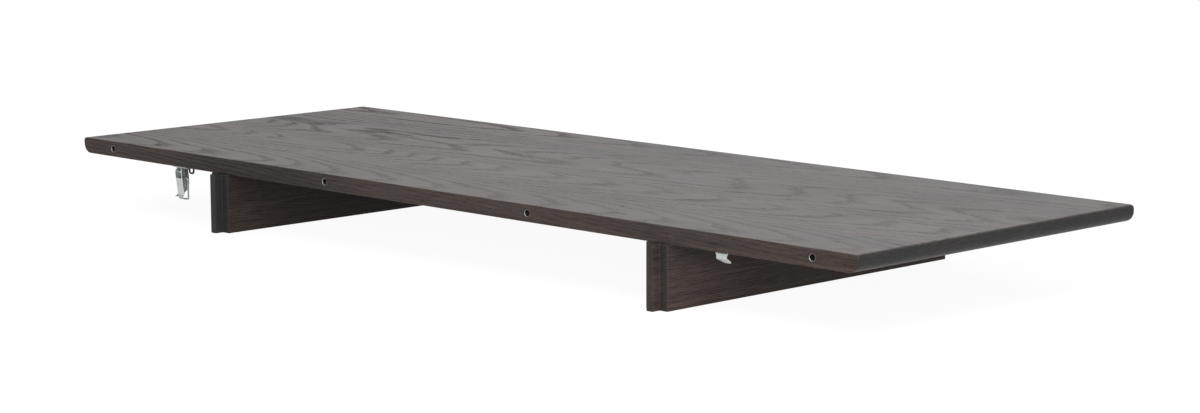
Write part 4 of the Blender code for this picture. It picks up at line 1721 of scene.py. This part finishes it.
@dataclass
class Fasteners:
    """Every screw of the leaf."""

    apron: WoodScrew = field(default_factory=lambda: WoodScrew(
        head=0.010, head_height=0.0036, shank=0.005, length=0.045))
    small: WoodScrew = field(default_factory=lambda: WoodScrew(
        head=0.0068, head_height=0.0021, shank=0.0035, length=0.016))
    slot_turn: float = 37.0

    def make(self, zinc: bpy.types.Material) -> None:
        """Model each size once, and dress and hand over a copy for each screw.

        Args:
            zinc: their finish.
        """
        for screw, kinds in ((self.apron, {"apron": 3}), (self.small, {"latch": 4, "keeper": 2})):
            pattern = screw.build("screw_pattern")
            nodes = [f"{side.word}_{kind}_screw_{k}" for side in Side for kind, count in kinds.items()
                     for k in range(1, count + 1)]
            for turn, node in enumerate(nodes):
                low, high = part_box(node)
                piece = copied(pattern, f"cross_{node}")
                place = ((low.x + high.x) / 2, (low.y + high.y) / 2, low.z + screw.head_height)
                put(piece, place, 0.0, self.slot_turn * turn)
                hand_over(piece, node, "leaf", zinc)
            bpy.data.objects.remove(pattern, do_unlink=True)


# Studio


@dataclass(frozen=True)
class SoftBox:
    """One soft lamp of the studio."""

    name: str
    place: Triple
    width: float
    height: float
    power: float
    colour: Triple
    target: Triple = (0.0, 0.0, 0.08)


WARM = (1.0, 0.98, 0.96)
COOL = (0.92, 0.96, 1.0)


@dataclass
class Studio:
    """The pale floor, the white surroundings, the lamps and the camera."""

    floor_size: float = 60.0
    floor_colour: Triple = (0.80, 0.80, 0.80)
    shadow_share: float = 0.10
    glow_loss: float = 0.55
    fill: float = 0.35
    camera_place: Triple = (2.8044, -2.7232, 0.6461)
    camera_tilt: float = 80.313
    camera_turn: float = 44.306
    sensor: float = 36.0
    lens: float = 92.533
    shift: tuple[float, float] = (-0.04206, 0.04511)
    lamps: tuple[SoftBox, ...] = (
        SoftBox("key_softbox", place=(1.6, -1.9, 2.6), width=1.8, height=1.4, power=50.0, colour=WARM),
        SoftBox("front_softbox", place=(2.6, -2.0, 0.9), width=1.4, height=1.0, power=44.0, colour=WARM),
        SoftBox("back_softbox", place=(-1.2, 2.4, 2.2), width=2.2, height=1.2, power=25.0, colour=COOL),
        SoftBox("side_softbox", place=(-3.0, 1.6, 2.0), width=2.0, height=1.4, power=7.0, colour=COOL),
    )

    def seen_directly(self, w: Wiring) -> Socket:
        """Tell what the camera sees, straight or in gloss or glass, from other light.

        Args:
            w: the wiring.

        Returns:
            1 for what it sees and 0 for other light.
        """
        path = w.node("ShaderNodeLightPath").outputs
        return w.math("MAXIMUM", w.math("MAXIMUM", path["Is Camera Ray"], path["Is Glossy Ray"]),
                      path["Is Transmission Ray"])

    def build_floor(self) -> None:
        """Lay the pale floor, which keeps the leaf's soft shadow."""
        clear_selection()
        bpy.ops.mesh.primitive_plane_add(size=self.floor_size, location=(0.0, 0.0, 0.0))
        floor = started("studio_floor")
        material = bpy.data.materials.new("pale_floor")
        material.use_nodes = True
        w = Wiring(material.node_tree)
        w.tree.nodes.remove(w.tree.nodes["Principled BSDF"])
        matt = w.node("ShaderNodeBsdfDiffuse")
        matt.inputs["Color"].default_value = (*self.floor_colour, 1.0)
        shaded = w.node("ShaderNodeBsdfDiffuse")
        shaded.inputs["Color"].default_value = (*[self.shadow_share] * 3, 1.0)
        glow = w.node("ShaderNodeEmission")
        glow.inputs["Strength"].default_value = 1.0 - self.glow_loss * self.shadow_share
        both = w.node("ShaderNodeAddShader")
        w.feed(both.inputs[0], shaded.outputs[0])
        w.feed(both.inputs[1], glow.outputs[0])
        choice = w.node("ShaderNodeMixShader")
        w.feed(choice.inputs[0], self.seen_directly(w))
        w.feed(choice.inputs[1], matt.outputs[0])
        w.feed(choice.inputs[2], both.outputs[0])
        w.feed(w.tree.nodes["Material Output"].inputs["Surface"], choice.outputs[0])
        floor.data.materials.append(material)

    def build_surroundings(self) -> None:
        """Make the white surroundings."""
        world = bpy.data.worlds.new("white_studio")
        world.use_nodes = True
        w = Wiring(world.node_tree)
        w.tree.nodes.clear()
        soft, white = w.node("ShaderNodeBackground"), w.node("ShaderNodeBackground")
        soft.inputs["Strength"].default_value = self.fill
        white.inputs["Strength"].default_value = 1.0
        for shade in (soft, white):
            shade.inputs["Color"].default_value = WHITE
        choice = w.node("ShaderNodeMixShader")
        w.feed(choice.inputs[0], self.seen_directly(w))
        w.feed(choice.inputs[1], soft.outputs[0])
        w.feed(choice.inputs[2], white.outputs[0])
        w.feed(w.node("ShaderNodeOutputWorld").inputs["Surface"], choice.outputs[0])
        bpy.context.scene.world = world

    def build_lamps(self) -> None:
        """Hang the soft lamps."""
        for box in self.lamps:
            data = bpy.data.lights.new(box.name, "AREA")
            data.shape = "RECTANGLE"
            data.size = box.width
            data.size_y = box.height
            data.energy = box.power
            data.color = box.colour
            lamp = bpy.data.objects.new(box.name, data)
            lamp.location = box.place
            lamp.rotation_euler = (Vector(box.target) - Vector(box.place)).to_track_quat("-Z", "Y").to_euler()
            bpy.context.scene.collection.objects.link(lamp)

    def build_camera(self) -> None:
        """Stand the camera where the photograph was taken from."""
        data = bpy.data.cameras.new("photo_camera")
        data.sensor_fit = "HORIZONTAL"
        data.sensor_width = self.sensor
        data.lens = self.lens
        data.shift_x, data.shift_y = self.shift
        camera = bpy.data.objects.new("photo_camera", data)
        camera.location = self.camera_place
        camera.rotation_euler = (math.radians(self.camera_tilt), 0.0, math.radians(self.camera_turn))
        bpy.context.scene.collection.objects.link(camera)
        bpy.context.scene.camera = camera

    def make(self) -> None:
        """Set up the whole studio."""
        self.build_camera()
        self.build_floor()
        self.build_surroundings()
        self.build_lamps()
        bpy.context.scene.view_settings.view_transform = "Standard"


ZINC = Metal("zinc_plate", bright=(0.70, 0.72, 0.72), dull=(0.42, 0.435, 0.44), roughness=0.42, spread=0.16,
             lines=(1500.0, 220.0, 220.0), crystal=0.0011, relief=0.00003)
ZINC_WIRE = Metal("zinc_wire", bright=(0.48, 0.49, 0.495), dull=(0.26, 0.265, 0.27), roughness=0.34,
                  spread=0.14, lines=(900.0, 900.0, 300.0), crystal=0.0006, relief=0.00002)
# The hoop's wire: a steel wire whose very dark colour is painted shade, for the shade under the board
PAINTED_SHADE_WIRE = Metal("dark_spring_wire", bright=(0.085, 0.085, 0.09), dull=(0.03, 0.03, 0.032), roughness=0.36,
                  spread=0.14, lines=(900.0, 900.0, 300.0), crystal=0.0006, relief=0.00002)
BUSH_METAL = Metal("turned_bush_metal", bright=(0.42, 0.41, 0.39), dull=(0.25, 0.245, 0.235), roughness=0.34,
                   spread=0.10, lines=(700.0, 2600.0, 700.0), crystal=0.0008, relief=0.00003,
                   stain=(0.060, 0.050, 0.047))

# The lever's axis on the left latch, and how far each side's lever and bail are turned at rest
LATCH_PIVOT = (-0.493, -0.241, 0.0695)
REST_TURNS = {Side.LEFT: (-82.0, -8.0), Side.RIGHT: (0.0, 0.0)}


def main() -> None:
    """Build the leaf's looks piece by piece and set up the studio."""
    logging.basicConfig(level=logging.INFO, format="%(name)s %(message)s")
    clear_selection()
    Studio().make()
    groups = NodeGroups()
    board = Board()
    board.dress(board.build(), groups)
    for side in Side:
        apron = Apron(side)
        apron.dress(apron.build(), groups)
    finishes = (ZINC, ZINC_WIRE, PAINTED_SHADE_WIRE, BUSH_METAL)
    zinc, zinc_wire, painted_shade_wire, bush_metal = (finish.made(groups) for finish in finishes)
    EdgeFittings().make(bush_metal)
    for side in Side:
        ToggleLatch(side, LATCH_PIVOT, *REST_TURNS[side]).make(zinc, zinc_wire, painted_shade_wire)
        hand_over(Keeper(side).build(), f"{side.word}_keeper", "leaf", zinc)
    Fasteners().make(zinc)
    clear_selection()


if __name__ == "__main__":
    main()
